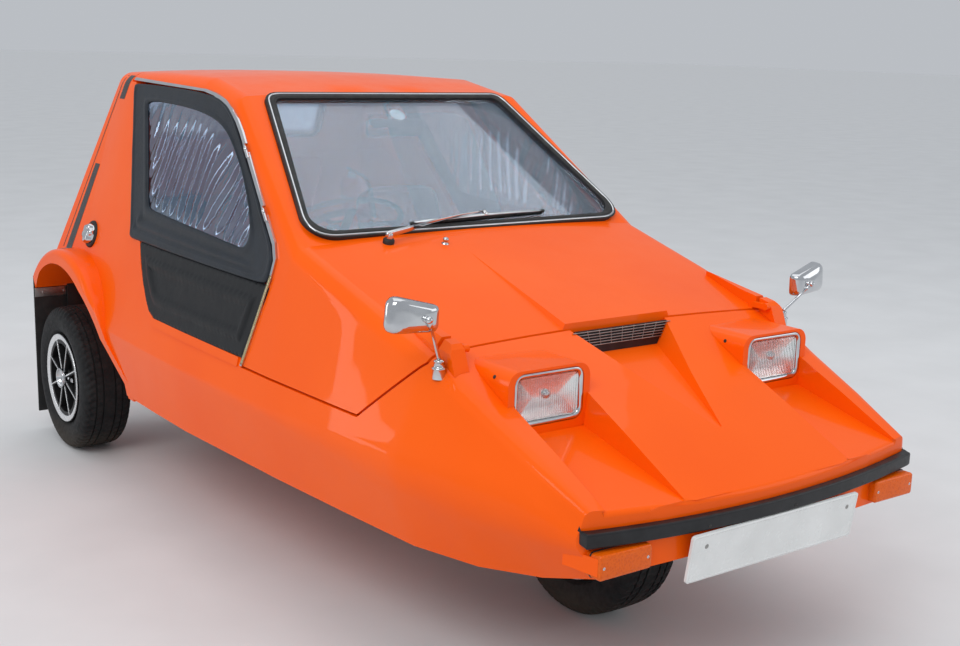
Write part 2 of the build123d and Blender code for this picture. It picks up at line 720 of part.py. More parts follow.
def headlamp_solid():
    lens = lamp_face(POCKET_DEPTH - SEAT_GAP) * extrude(RectangleRounded(LAMP_W, LAMP_H, LAMP_R), LAMP_DEPTH)
    return fillet(lens.faces().sort_by(Axis.Y)[0].edges(), 4)


BUMPER_DEPTH = 18
BUMPER_HALF = 506
BUMPER_TOP_Z = 480
BUMPER_H = 31
BUMPER_DROP = 0.17
PLATE_W = 520
PLATE_H = 108
PLATE_T = 6
PLATE_Z = 383
PLATE_TILT = 8
INDICATOR = (352, 490, -1384, 384, 436)


def bumper_solid():
    """The strip along the bowed nose, a little lower at the middle."""
    def edge_z(y):
        return BUMPER_TOP_Z + BUMPER_DROP * (y - NOSE_CORNER[1])

    ends = (FRONT_END_Y - 10, NOSE_CORNER[1] + 10)
    side = [(y, edge_z(y)) for y in ends] + [(y, edge_z(y) - BUMPER_H) for y in ends[::-1]]
    band = prism(side, -BUMPER_HALF, BUMPER_HALF) & extrude(nose_plan(BUMPER_DEPTH), PLAN_END_Y)
    return band - body_loft(-SEAT_GAP)


def front_plate_plane():
    tilt = math.radians(PLATE_TILT)
    y = FRONT_END_Y + PLATE_H / 2 * math.sin(tilt)
    return Plane(origin=(0, y, PLATE_Z), x_dir=(1, 0, 0), z_dir=(0, -math.cos(tilt), -math.sin(tilt)))


def front_plate_solid():
    plane = front_plate_plane()
    board = plane * (Pos(0, 0, -PLATE_T) * extrude(RectangleRounded(PLATE_W, PLATE_H, 8), PLATE_T))
    stem = plane * (Pos(0, 26, -PLATE_T - 15) * Box(300, 22, 30))
    return board + (stem - body_loft(-SEAT_GAP))


def indicator_solid():
    x_low, x_high, front, z_low, z_high = INDICATOR
    lamp = block(x_low, x_high, front, front + 60, z_low, z_high)
    lamp = fillet(lamp.edges().filter_by(Axis.Y), 8)
    fairing = [Vector(x, y, z_low) for x, y in LAMP_FAIRING]
    fairing = Solid.extrude(Face(Wire.make_polygon(fairing, close=True)), Vector(0, 0, z_high - z_low))
    return lamp - body_loft(-SEAT_GAP) - fairing


SEAT_X = (211, 526)
FLOOR_TOP = 320


def seat_solid():
    foot = FLOOR_TOP + SEAT_GAP
    outline = [
        (120, foot), (105, 455), (150, 478), (500, 425), (690, 900),
        (720, 925), (772, 905), (772, 870), (582, 450), (575, foot),
    ]
    face = Face(Wire.make_polygon([Vector(SEAT_X[0], y, z) for y, z in outline], close=True))
    shape = Solid.extrude(face, Vector(SEAT_X[1] - SEAT_X[0], 0, 0))
    return fillet(shape.edges().filter_by(Axis.X), 14)


def dash_solid():
    outline = [
        (-500, 562.5), (-480, 562.5), (-345, 790), (-240, 812), (-225, 800), (-225, 700),
        (-205, 700), (-205, 815), (-235, 832), (-355, 808), (-500, 580),
    ]
    return prism(outline, -505, 505)


WHEEL_CENTRE = (-290, 20, 790)
WHEEL_TILT = -55
STEERING_R = 180


def steering_wheel_solid():
    rim = Torus(STEERING_R, 9)
    hub = Pos(0, 0, -16) * Cylinder(32, 32)
    spokes = [Rot(0, 0, a) * (Pos(STEERING_R / 2 + 8, 0, -8) * Box(STEERING_R - 16, 26, 5)) for a in (0, 180, 270)]
    wheel = rim + hub
    for spoke in spokes:
        wheel = wheel + spoke
    return wheel


def steering_frame():
    return Location(WHEEL_CENTRE, (WHEEL_TILT, 0, 0))


# Mirror heads. Columns: side, x, y, z, turn about the upright in degrees
MIRROR_BASE = (546, -903, 724)
MIRRORS = {"left": (1, 638, -905, 812, 8), "right": (-1, 617, -905, 838, 2)}


def mirror_solid(tag):
    sign, x, y, z, turn = MIRRORS[tag]
    foot = Vector(*MIRROR_BASE)
    base = bar(foot - Vector(0, 0, 34), foot + Vector(0, 0, 7), 15)
    stem = bar(foot, (x - 34, y - 14, z - 20), 5)
    glass = Pos(0, 17, 0) * (Rot(90, 0, 0) * RectangleRounded(122, 74, 16))
    back = Pos(0, -17, 0) * (Rot(90, 0, 0) * RectangleRounded(92, 50, 14))
    head = Solid(loft([back.face(), glass.face()]).wrapped)
    shape = (base + stem + Pos(x, y, z) * (Rot(0, 0, turn) * head)) - body_loft(-SEAT_GAP)
    return shape if sign > 0 else mirrored(shape)


# Canopy hinge, as (y, z)
HINGE = (-905, 750)
HINGE_X = 488
HINGE_PIN_R = 4


def hinge_pin(radius):
    return bar((HINGE_X - 14, *HINGE), (HINGE_X + 12, *HINGE), radius)


# Side view of the fairing over a hinge, as (y, z), and its plan, as (x, y)
FAIRING_SIDE = [(-945, 660), (-936, 700), (-914, 752), (-902, 762), (-862, 770), (-800, 781), (-660, 806), (-660, 660)]
FAIRING_PLAN = [(488, -945), (528, -945), (528, -840), (518, -660), (506, -660), (488, -800)]
FAIRING_TIP_Y = -660
FAIRING_BEVEL = [(480, 660), (480, 812), (500, 812), (500, 775), (532, 735), (532, 660)]


def fairing_block(y_low, y_high, z_low):
    """The teardrop bump over a hinge, between two places along the car."""
    shape = prism(FAIRING_SIDE, HINGE_X, HINGE_X + 60)
    plan = Face(Wire.make_polygon([Vector(x, y, 600) for x, y in FAIRING_PLAN], close=True))
    shape = shape & Solid.extrude(plan, Vector(0, 0, 300))
    front = Face(Wire.make_polygon([Vector(x, -945, z) for x, z in FAIRING_BEVEL], close=True))
    rear = Face(Wire.make_polygon([Vector(x, -660, z + 36) for x, z in FAIRING_BEVEL], close=True))
    shape = shape & Solid(loft([front, rear], ruled=True).wrapped)
    return shape & block(HINGE_X, HINGE_X + 60, y_low, y_high, z_low, 840)


def hinge_fairing():
    block_front = fairing_block(-945, CANOPY_FRONT_Y - 2 * SHUT_GAP, 660)
    return block_front - body_loft(-SEAT_GAP) + hinge_pin(HINGE_PIN_R)


def hinge_lug():
    """The canopy's arm beside each fairing, bored for the fairing's pin."""
    eye = bar((HINGE_X - 14, *HINGE), (HINGE_X - SEAT_GAP, *HINGE), 9)
    arm = [
        (HINGE[0], HINGE[1] - 7),
        (HINGE[0], HINGE[1] + 7),
        (CANOPY_FRONT_Y, HINGE[1] + 7),
        (CANOPY_FRONT_Y + 24, HINGE[1] - 12),
        (CANOPY_FRONT_Y, HINGE[1] - 15),
        (CANOPY_FRONT_Y - 2, HINGE[1] - 7),
    ]
    lug = eye + prism(arm, HINGE_X - 14, HINGE_X - SEAT_GAP)
    return lug - hinge_pin(HINGE_PIN_R + RUNNING_CLEARANCE)


# Side screen hinge line on the left, 10 mm outside the skin and 10 mm ahead of the screen's edge
SCREEN_HINGE_LOW = (578, -192, 890)
SCREEN_HINGE_HIGH = (516, 114, 1146)
SCREEN_KNUCKLE_R = 5


def screen_knuckle(start, end, back, inward):
    """A barrel on the hinge line with a leaf that leads back and into the skin."""
    low = Vector(*SCREEN_HINGE_LOW)
    line = (Vector(*SCREEN_HINGE_HIGH) - low).normalized()
    out = Vector(0.96, 0, 0.26).normalized()
    rear = line.cross(out).normalized()
    if rear.Y < 0:
        rear = rear * -1
    a = low + line * start
    b = low + line * end
    barrel = bar(a, b, SCREEN_KNUCKLE_R)
    middle = (a + b) * 0.5
    leaf = bar(middle, middle + rear * back - out * inward, 3.5)
    return barrel + leaf


SCREEN_KNUCKLES = (70, 300)
KNUCKLE_LENGTH = 26


def frame_knuckles():
    start = KNUCKLE_LENGTH + SEAT_GAP
    return [screen_knuckle(t + start, t + start + KNUCKLE_LENGTH, 30, 10) for t in SCREEN_KNUCKLES]


def boot_hinge_barrels(radius):
    barrel = Rot(0, 90, 0) * Cylinder(radius, 60)
    return [tail_plane() * (Pos(x, -BOOT_DROP - 2, 1) * barrel) for x in (-240, 240)]


def boot_lid_solid():
    gap = BOOT_GAP
    lid = tail_rect(BOOT_W - 2 * gap, BOOT_H - 2 * gap, BOOT_DROP + gap, 27, -WALL + 2, 0)
    handle = tail_rect(110, 22, BOOT_DROP + BOOT_H - 60, 8, 0, 14)
    for barrel in boot_hinge_barrels(6):
        lid = lid + barrel
    return lid + handle


def silencer_solid():
    x = 330
    can = bar((x, 480, 205), (x, 850, 205), 48)
    front = bar((x, -100, 225), (x, 500, 215), 19)
    tail = bar((x, 830, 180), (x, 1385, 172), 17)
    strap = block(x - 12, x + 12, 640, 660, 220, 299.7)
    strap2 = block(x - 10, x + 10, 350, 370, 215, 299.7)
    return can + front + tail + strap + strap2


def rear_links_solid():
    parts = []
    for s in (-1, 1):
        arm = bar((s * 390, 780, 250), (s * 390, REAR_AXLE_Y - 33, 238), 15)
        parts.append(arm + block(s * 390 - 16, s * 390 + 16, 755, 800, 235, 299.7))
        damper = bar((s * 300, REAR_AXLE_Y, TYRE_R + 32.3), (s * 300, REAR_AXLE_Y, REAR_FLOOR_Z - 0.3), 24)
        parts.append(damper)
    return parts


def mudflap_solid():
    return block(556, 692, BACK_END_Y - 5.7, BACK_END_Y, 65, 556)


def tail_lamp_solids():
    lamp = Rot(90, 0, 0) * Cylinder(36, 12)
    return [Pos(x, TAIL_Y + SEAT_GAP + 6, 500) * lamp for x in (430, 512)]


def rear_plate_solid():
    return block(-260, 260, TAIL_Y + SEAT_GAP, TAIL_Y + 7, 430, 541)


def wiper_solid():
    plane = screen_plane()
    pivot = Vector(-320, -335, 897)
    lean = Vector(0, -0.27, 0.963)
    boss = bar(pivot - Vector(0, 0, 8), pivot - Vector(0, 0, 8) + lean * 31, 12)
    arm = bar(pivot + Vector(0, 0, 18), plane.from_local_coords(Vector(29, 55, 17)), 5)
    blade = plane * (Pos(35, 38, 12) * (Rot(0, 0, 2) * Box(410, 9, 8)))
    link = bar(plane.from_local_coords(Vector(29, 55, 17)), plane.from_local_coords(Vector(29, 38, 14)), 5)
    return (boss + arm + link + blade) - body_loft(-SEAT_GAP)


def interior_mirror_solid():
    stem = bar((0, 224, 1226), (0, 160, 1150), 5)
    head = Pos(0, 150, 1145) * Box(190, 16, 52)
    return stem + fillet(head.edges().filter_by(Axis.Y), 12)


def make_all():
    tub, canopy = build_body()
    add("body_tub", tub)
    add("canopy_shell", canopy)
    add("windscreen_seal", screen_slab(0, -WALL, SEAL_PROUD) - screen_slab(SEAL_W, -WALL - 1, SEAL_PROUD + 1))
    add("windscreen", screen_slab(SEAL_W + SEAT_GAP, -GLASS_T - 4, -4))
    gap = SEAT_GAP
    seal = tail_rect(REAR_GLASS_W - 2 * gap, REAR_GLASS_H - 2 * gap, REAR_GLASS_DROP + gap, 40 - gap, -WALL, 5)
    pane_edge = 18
    pane = (REAR_GLASS_W - 2 * pane_edge, REAR_GLASS_H - 2 * pane_edge, REAR_GLASS_DROP + pane_edge)
    add("rear_window_seal", seal - tail_rect(*pane, 24, -WALL - 1, 6))
    pane_edge += gap
    pane = (REAR_GLASS_W - 2 * pane_edge, REAR_GLASS_H - 2 * pane_edge, REAR_GLASS_DROP + pane_edge)
    add("rear_window", tail_rect(*pane, 23, -8, -4))
    add("boot_lid", boot_lid_solid())
    for tag, sign in (("left", 1), ("right", -1)):
        screens_and_panels(tag, sign)
        add("canopy_strip_" + tag, canopy_trim(sign))

        def place(shape):
            return shape if sign > 0 else mirrored(shape)

        add("headlamp_pod_" + tag, place(pod_solid()))
        add("headlamp_" + tag, place(headlamp_solid()))
        add("seat_" + tag, place(seat_solid()))
        add("door_mirror_" + tag, mirror_solid(tag))
        add("rear_tyre_" + tag, at_wheel(tyre_solid(), sign * REAR_TRACK / 2, REAR_AXLE_Y, sign))
        add("rear_rim_" + tag, at_wheel(rim_solid(), sign * REAR_TRACK / 2, REAR_AXLE_Y, sign))
    add("front_tyre", at_wheel(tyre_solid(), 0, FRONT_AXLE_Y, -1))
    add("front_rim", at_wheel(rim_solid(), 0, FRONT_AXLE_Y, -1))
    add("front_arm", front_arm_solid())
    add("chassis_frame", chassis_solid())
    add("rear_axle", rear_axle_solid())
    add("rear_links", Compound(rear_links_solid()))
    engine = block(-150, 150, -400, 180, 260, 516) + block(-110, 110, 180, 335, 262, 400)
    engine = engine + block(-150, -100, -300, -200, 237, 262) + block(100, 150, -300, -200, 237, 262)
    add("engine_block", engine)
    shaft = bar((0, 320, 345), (0, REAR_AXLE_Y - 150, 258), 30)
    shaft = shaft - block(-60, 60, 250, 335 + SEAT_GAP, 200, 400)
    add("propshaft", shaft - block(-60, 60, REAR_AXLE_Y - 170 - SEAT_GAP, REAR_AXLE_Y, 200, 400))
    add("exhaust", silencer_solid())
    add("front_bumper", bumper_solid())
    add("front_plate", front_plate_solid())
    lamp = indicator_solid()
    add("front_indicators", Compound([lamp, mirrored(lamp)]))
    lamps = tail_lamp_solids()
    add("tail_lamps", Compound(lamps + [mirrored(p) for p in lamps]))
    add("rear_plate", rear_plate_solid())
    flap = mudflap_solid()
    add("mudflaps", Compound([flap, mirrored(flap)]))
    fairing = hinge_fairing()
    add("hinge_fairings", Compound([fairing, mirrored(fairing)]))
    add("nose_grille", block(-150, 150, -880, -874, 650, 744) & valley_void(-SEAT_GAP))
    add("dash_panel", dash_solid())
    add("steering_wheel", steering_frame() * steering_wheel_solid())
    column = steering_frame() * (Pos(0, 0, -32 - SEAT_GAP - 310) * Cylinder(22, 620))
    add("steering_column", column - block(-400, -200, -700, BULKHEAD_Y + WALL + SEAT_GAP, 200, 700))
    add("wiper", wiper_solid())
    add("interior_mirror", interior_mirror_solid())
    cap_y = 1050
    cap_z = 745
    cap = Rot(0, 90, 0) * Cylinder(38, 26)
    add("fuel_cap", Pos(-side_x(cap_y, cap_z) - 14, cap_y, cap_z) * cap - body_loft(-SEAT_GAP))


if __name__ == "__main__":
    make_all()
    os.makedirs("parts", exist_ok=True)
    for name, shape in NODES.items():
        export_step(shape, "parts/" + name + ".step")
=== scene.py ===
"""Orange three wheeled car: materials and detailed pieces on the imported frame.

Lengths in the tables are millimetres in the CAD frame: the origin is on the ground under the middle
of the car, +Z up, +Y to the tail, +X to the car's left. mm() turns them into metres.
"""
import math

import bmesh
import bpy
from mathutils import Matrix, Vector, noise
from mathutils.bvhtree import BVHTree


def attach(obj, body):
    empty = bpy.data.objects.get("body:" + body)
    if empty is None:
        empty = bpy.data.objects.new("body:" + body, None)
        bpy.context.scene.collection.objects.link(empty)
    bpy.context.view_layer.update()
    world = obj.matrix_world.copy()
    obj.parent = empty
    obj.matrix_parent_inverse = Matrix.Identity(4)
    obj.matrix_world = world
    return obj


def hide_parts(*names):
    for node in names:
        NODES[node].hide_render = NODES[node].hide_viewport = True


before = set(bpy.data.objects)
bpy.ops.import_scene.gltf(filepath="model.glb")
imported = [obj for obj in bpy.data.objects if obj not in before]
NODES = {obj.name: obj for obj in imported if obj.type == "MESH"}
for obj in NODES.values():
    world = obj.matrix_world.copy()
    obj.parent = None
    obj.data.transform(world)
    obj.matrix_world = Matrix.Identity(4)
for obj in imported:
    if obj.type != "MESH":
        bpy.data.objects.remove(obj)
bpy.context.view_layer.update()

MM = 0.001
SIDES = (("left", 1), ("right", -1))


def mm(x, y, z):
    return Vector((x, y, z)) * MM


# Materials

def feed(tree, node, inputs):
    """Sets inputs of a node, each from a value or from another node's socket."""
    for name, value in inputs.items():
        if isinstance(value, bpy.types.NodeSocket):
            tree.links.new(value, node.inputs[name])
        else:
            node.inputs[name].default_value = value


def add_node(tree, kind, inputs=None, **settings):
    node = tree.nodes.new(kind)
    for name, value in settings.items():
        setattr(node, name, value)
    feed(tree, node, inputs or {})
    return node


def new_material(name):
    mat = bpy.data.materials.new(name)
    mat.use_nodes = True
    tree = mat.node_tree
    coords = add_node(tree, "ShaderNodeTexCoord").outputs["Object"]
    return mat, tree, tree.nodes["Principled BSDF"], coords


def noise_node(tree, coords, scale, detail=3.0, rough=0.5, stretch=None):
    if stretch:
        coords = add_node(tree, "ShaderNodeMapping", {"Vector": coords, "Scale": stretch}).outputs["Vector"]
    inputs = {"Vector": coords, "Scale": scale, "Detail": detail, "Roughness": rough}
    return add_node(tree, "ShaderNodeTexNoise", inputs).outputs["Fac"]


def colour_ramp(tree, fac, *stops):
    """A blend between two stops, each a place and a colour."""
    ramp = add_node(tree, "ShaderNodeValToRGB", {"Fac": fac})
    for element, (place, colour) in zip(ramp.color_ramp.elements, stops):
        element.position = place
        element.color = (*colour, 1)
    return ramp.outputs["Color"]


def value_range(tree, fac, low, high):
    inputs = {"Value": fac, "From Min": 0.3, "From Max": 0.7, "To Min": low, "To Max": high}
    return add_node(tree, "ShaderNodeMapRange", inputs).outputs["Result"]


def bump(tree, shader, height, strength, distance, under=None):
    inputs = {"Strength": strength, "Distance": distance, "Height": height}
    if under is not None:
        inputs["Normal"] = under
    normal = add_node(tree, "ShaderNodeBump", inputs).outputs["Normal"]
    feed(tree, shader, {"Normal": normal})
    return normal


def finish(name, dark, light, rough=(0.3, 0.4), metal=0.0, scale=30.0, grain=0.0, grain_scale=600.0,
           coat=0.0, specular=0.5, dust=None):
    """A material whose colour runs between dark and light, with its own grain, and dust low down."""
    mat, tree, shader, coords = new_material(name)
    colour = colour_ramp(tree, noise_node(tree, coords, scale), (0.3, dark), (0.7, light))
    if dust:
        dust_colour, dust_top = dust
        height = add_node(tree, "ShaderNodeSeparateXYZ", {"Vector": coords}).outputs["Z"]
        low = add_node(tree, "ShaderNodeMapRange", {"Value": height, "From Min": dust_top, "From Max": 0.0})
        speck = noise_node(tree, coords, 90.0, 6.0, 0.65)
        amount = add_node(tree, "ShaderNodeMath", {0: low.outputs["Result"], 1: speck}, operation="MULTIPLY")
        inputs = {"Factor": amount.outputs["Value"], "A": colour, "B": (*dust_colour, 1)}
        colour = add_node(tree, "ShaderNodeMix", inputs, data_type="RGBA").outputs["Result"]
    worn = noise_node(tree, coords, scale * 3.1, 5.0, 0.6)
    feed(tree, shader, {
        "Base Color": colour, "Roughness": value_range(tree, worn, *rough), "Metallic": metal,
        "Coat Weight": coat, "Coat Roughness": 0.05, "Specular IOR Level": specular,
    })
    if grain:
        bump(tree, shader, noise_node(tree, coords, grain_scale, 2.0), grain, 0.0004)
    return mat


def paint_material(name, dark, light):
    """Gel coat: even colour, a clear gloss over it and the slow ripple of hand laid panels."""
    mat, tree, shader, coords = new_material(name)
    broad = noise_node(tree, coords, 2.3, 2.0)
    worn = noise_node(tree, coords, 14.0, 5.0, 0.6)
    feed(tree, shader, {
        "Base Color": colour_ramp(tree, broad, (0.3, dark), (0.7, light)),
        "Roughness": value_range(tree, worn, 0.28, 0.36), "Specular IOR Level": 0.06,
        "Coat Weight": 0.27, "Coat Roughness": 0.035,
    })
    wave = bump(tree, shader, noise_node(tree, coords, 5.0, 1.5, 0.4), 0.25, 0.004)
    bump(tree, shader, noise_node(tree, coords, 420.0, 1.0, 0.4), 0.05, 0.0002, wave)
    return mat


def clear_material(name, tint, rough, alpha, ripple=0.0, mirror=0.0):
    """Clear glass or sheet; mirror is the share of the surroundings that it throws back at every angle."""
    mat, tree, shader, coords = new_material(name)
    haze = noise_node(tree, coords, 9.0, 4.0, 0.6)
    pale = tuple(min(1.0, c * 1.04) for c in tint)
    feed(tree, shader, {
        "Base Color": colour_ramp(tree, haze, (0.3, tint), (0.7, pale)),
        "Roughness": value_range(tree, haze, rough, rough * 1.8 + 0.005),
        "Transmission Weight": 1.0, "Metallic": mirror, "IOR": 1.45, "Alpha": alpha,
    })
    if ripple:
        bump(tree, shader, noise_node(tree, coords, 16.0, 2.0, stretch=(1.0, 3.0, 0.7)), ripple, 0.004)
    return mat


def lens_material(name, colour, deep, transmission):
    mat, tree, shader, coords = new_material(name)
    cells = add_node(tree, "ShaderNodeTexVoronoi", {"Scale": 170.0, "Vector": coords}).outputs["Distance"]
    feed(tree, shader, {
        "Base Color": colour_ramp(tree, cells, (0.0, deep), (0.6, colour)), "Roughness": 0.12,
        "Transmission Weight": transmission, "IOR": 1.49, "Specular IOR Level": 0.3,
    })
    bump(tree, shader, cells, 0.12, 0.0004)
    return mat


def cloth_material(name, dark, light, weave=1400.0, strength=0.35, rough=(0.5, 0.65)):
    """Coated cloth: two crossed threads under a thin skin, with scuffs."""
    mat, tree, shader, coords = new_material(name)
    scuff = noise_node(tree, coords, 24.0, 6.0, 0.65)
    threads = {}
    for k, axis in enumerate("YZ"):
        inputs = {"Scale": weave / 6.0, "Distortion": 0.6, "Vector": coords}
        wave = add_node(tree, "ShaderNodeTexWave", inputs, wave_type="BANDS", bands_direction=axis)
        threads[k] = wave.outputs["Fac"]
    cross = add_node(tree, "ShaderNodeMath", threads, operation="MULTIPLY").outputs["Value"]
    feed(tree, shader, {
        "Base Color": colour_ramp(tree, scuff, (0.3, dark), (0.75, light)),
        "Roughness": value_range(tree, scuff, *rough), "Specular IOR Level": 0.3,
    })
    soft = bump(tree, shader, noise_node(tree, coords, 11.0), 0.3, 0.006)
    bump(tree, shader, cross, strength, 0.0003, soft)
    return mat


ORANGE = paint_material("paint_orange", (0.93, 0.102, 0.001), (0.97, 0.118, 0.002))
BLACK = finish("black_trim", (0.008, 0.008, 0.009), (0.016, 0.016, 0.018), (0.3, 0.42), grain=0.2,
               specular=0.35)
RUBBER = finish("rubber_black", (0.010, 0.010, 0.010), (0.024, 0.023, 0.022), (0.5, 0.7), grain=0.3,
                grain_scale=900)
TYRE = finish("tyre_rubber", (0.007, 0.007, 0.008), (0.017, 0.017, 0.017), (0.62, 0.85), grain=0.5,
              grain_scale=700, specular=0.3, dust=((0.10, 0.075, 0.05), 0.10))
CHROME = finish("chrome", (0.56, 0.57, 0.59), (0.68, 0.69, 0.70), (0.04, 0.11), metal=1.0, scale=18)
BRASS = finish("worn_brass", (0.42, 0.33, 0.17), (0.55, 0.46, 0.28), (0.18, 0.35), metal=1.0, scale=60)
SILVER = finish("rim_silver", (0.74, 0.74, 0.75), (0.84, 0.84, 0.84), (0.22, 0.34), metal=1.0, scale=60)
RIM_BLACK = finish("rim_black", (0.006, 0.006, 0.007), (0.014, 0.013, 0.013), (0.4, 0.55), specular=0.25)
ALLOY = finish("worn_alloy", (0.30, 0.30, 0.29), (0.45, 0.44, 0.42), (0.35, 0.55), metal=1.0, scale=50,
               grain=0.2)
GLASS = clear_material("glass_clear", (0.58, 0.76, 0.98), 0.003, 0.60, mirror=0.15)
VINYL = clear_material("clear_vinyl", (0.46, 0.60, 0.82), 0.02, 0.88, ripple=0.2, mirror=0.34)
LAMP_GLASS = clear_material("lamp_glass", (0.96, 0.98, 0.98), 0.006, 0.8)
CLOTH = cloth_material("screen_cloth", (0.008, 0.011, 0.015), (0.020, 0.026, 0.036), rough=(0.36, 0.48))
PANEL_CLOTH = cloth_material("panel_cloth", (0.005, 0.006, 0.007), (0.012, 0.013, 0.015), 900.0, 0.6,
                             (0.46, 0.6))
SEAT = cloth_material("seat_vinyl", (0.014, 0.014, 0.016), (0.034, 0.034, 0.038), 500.0, 0.3, (0.38, 0.5))
CHASSIS = finish("chassis_black", (0.012, 0.012, 0.012), (0.035, 0.032, 0.028), (0.4, 0.65), grain=0.3,
                 grain_scale=300)
ENGINE = finish("engine_casting", (0.16, 0.16, 0.16), (0.30, 0.29, 0.28), (0.45, 0.65), metal=0.8, grain=0.5,
                grain_scale=260)
EXHAUST = finish("exhaust_steel", (0.20, 0.15, 0.11), (0.38, 0.34, 0.30), (0.35, 0.6), metal=0.9, scale=22,
                 grain=0.3)
PLATE_WHITE = finish("plate_white", (0.74, 0.74, 0.72), (0.82, 0.82, 0.80), (0.22, 0.3), scale=12, coat=0.4)
PLATE_YELLOW = finish("plate_yellow", (0.80, 0.55, 0.03), (0.86, 0.61, 0.05), (0.22, 0.3), scale=12, coat=0.4)
STRIPE = finish("stripe_black", (0.012, 0.010, 0.010), (0.022, 0.020, 0.020), (0.25, 0.35), scale=20)
AMBER = lens_material("amber_lens", (0.82, 0.125, 0.002), (0.70, 0.085, 0.001), 0.05)
RED = lens_material("red_lens", (0.70, 0.018, 0.010), (0.45, 0.008, 0.006), 0.15)
EXTINGUISHER = finish("extinguisher_red", (0.50, 0.015, 0.010), (0.60, 0.025, 0.015), (0.2, 0.3), coat=0.6)
MIRROR = finish("mirror_glass", (0.80, 0.82, 0.84), (0.86, 0.87, 0.88), (0.01, 0.03), metal=1.0, scale=8)
REFLECTOR = finish("lamp_reflector", (0.80, 0.80, 0.79), (0.88, 0.88, 0.87), (0.06, 0.12), metal=1.0,
                   scale=40)
PAPER = finish("paper_disc", (0.70, 0.68, 0.58), (0.80, 0.79, 0.72), (0.5, 0.6), scale=200)
DIAL = finish("dial_face", (0.010, 0.010, 0.010), (0.020, 0.020, 0.020), (0.15, 0.2), scale=90, coat=0.8)

# The material of each node
NODE_FINISH = (
    (ORANGE, "body_tub canopy_shell boot_lid hinge_fairings headlamp_pod_left headlamp_pod_right"),
    (BLACK, "front_bumper nose_grille dash_panel steering_wheel steering_column interior_mirror"),
    (CHROME, "canopy_strip_left canopy_strip_right fuel_cap wiper door_mirror_left door_mirror_right"),
    (CHASSIS, "front_arm chassis_frame rear_axle rear_links propshaft"),
    (RUBBER, "windscreen_seal rear_window_seal mudflaps"),
    (GLASS, "windscreen rear_window"),
    (RIM_BLACK, "front_rim rear_rim_left rear_rim_right"),
    (TYRE, "front_tyre rear_tyre_left rear_tyre_right"),
    (CLOTH, "screen_frame_left screen_frame_right"),
    (VINYL, "screen_window_left screen_window_right"),
    (PANEL_CLOTH, "lower_panel_left lower_panel_right"),
    (SEAT, "seat_left seat_right"),
    (REFLECTOR, "headlamp_left headlamp_right"),
    (AMBER, "front_indicators"),
    (RED, "tail_lamps"),
    (ENGINE, "engine_block"),
    (EXHAUST, "exhaust"),
    (PLATE_WHITE, "front_plate"),
    (PLATE_YELLOW, "rear_plate"),
)
for mat, names in NODE_FINISH:
    for name in names.split():
        node = NODES[name]
        if not node.material_slots:
            node.data.materials.append(mat)
        for entry in node.material_slots:
            entry.material = mat

# The slot name of each material, which mesh_piece looks up for a piece unless it names another, but does not
# store
SLOTS = (
    ("black_trim", (BLACK, STRIPE, DIAL)), ("rubber", (RUBBER,)), ("tyre", (TYRE,)),
    ("chrome", (CHROME, BRASS, MIRROR)), ("rim_paint", (SILVER, RIM_BLACK)), ("chassis_paint", (ALLOY,)),
    ("clear_sheet", (VINYL,)), ("screen_cloth", (CLOTH, PANEL_CLOTH)), ("seat_vinyl", (SEAT,)),
    ("lamp_glass", (REFLECTOR, LAMP_GLASS)), ("amber_lens", (AMBER,)), ("red_lens", (RED, EXTINGUISHER)),
    ("plate", (PLATE_WHITE, PLATE_YELLOW, PAPER)),
)
SLOT_OF = {mat.name: slot for slot, mats in SLOTS for mat in mats}


# Mesh helpers

def mesh_piece(name, verts, faces, mat, body="tub", slot=None, smooth=True, replaces=()):
    data = bpy.data.meshes.new(name)
    data.from_pydata([tuple(v) for v in verts], [], faces)
    data.validate()
    if smooth:
        data.shade_smooth()
    data.materials.append(mat)
    obj = bpy.data.objects.new(name, data)
    bpy.context.scene.collection.objects.link(obj)
    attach(obj, body)
    slot = slot or SLOT_OF[mat.name]
    if replaces:
        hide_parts(*replaces)
    return obj


def outward(obj):
    """Turns the faces of a closed piece outwards."""
    work = bmesh.new()
    work.from_mesh(obj.data)
    bmesh.ops.remove_doubles(work, verts=work.verts, dist=1e-6)
    bmesh.ops.recalc_face_normals(work, faces=work.faces)
    work.to_mesh(obj.data)
    work.free()
    return obj


# Width of the bevel of small parts, in metres
FINE_EDGE = 0.0008


def bevel(obj, width, segments, angle=None, clamp=True, name="edge"):
    """Rounds the edges sharper than an angle in degrees, or without one the edges that a weight marks."""
    mod = obj.modifiers.new(name, "BEVEL")
    mod.width = width
    mod.segments = segments
    mod.limit_method = "ANGLE" if angle else "WEIGHT"
    if angle:
        mod.angle_limit = math.radians(angle)
    mod.use_clamp_overlap = clamp
    return obj


def thicken(obj, depth):
    """Gives an open sheet a thickness inwards."""
    mod = obj.modifiers.new("thick", "SOLIDIFY")
    mod.thickness = depth
    mod.offset = -1


def grid(rows, closed_u=False, closed_v=False):
    """Vertices and quads of a net of points given row by row."""
    verts = [p for row in rows for p in row]
    high = len(rows)
    wide = len(rows[0])
    faces = []
    for i in range(high if closed_v else high - 1):
        for j in range(wide if closed_u else wide - 1):
            a = i * wide + j
            b = i * wide + (j + 1) % wide
            c = ((i + 1) % high) * wide + (j + 1) % wide
            d = ((i + 1) % high) * wide + j
            faces.append((a, b, c, d))
    return verts, faces


def net(wide, tall, point):
    """A net of points, each a function of two shares from 0 to 1, the first of them along its rows."""
    return grid([[point(i / wide, j / tall) for i in range(wide + 1)] for j in range(tall + 1)])


def loft(rows, caps=True):
    """Rings of points joined one to the next, with flat ends."""
    verts, faces = grid(rows, closed_u=True)
    if caps:
        wide = len(rows[0])
        faces += [tuple(range(wide))[::-1], tuple(range(len(verts) - wide, len(verts)))]
    return verts, faces


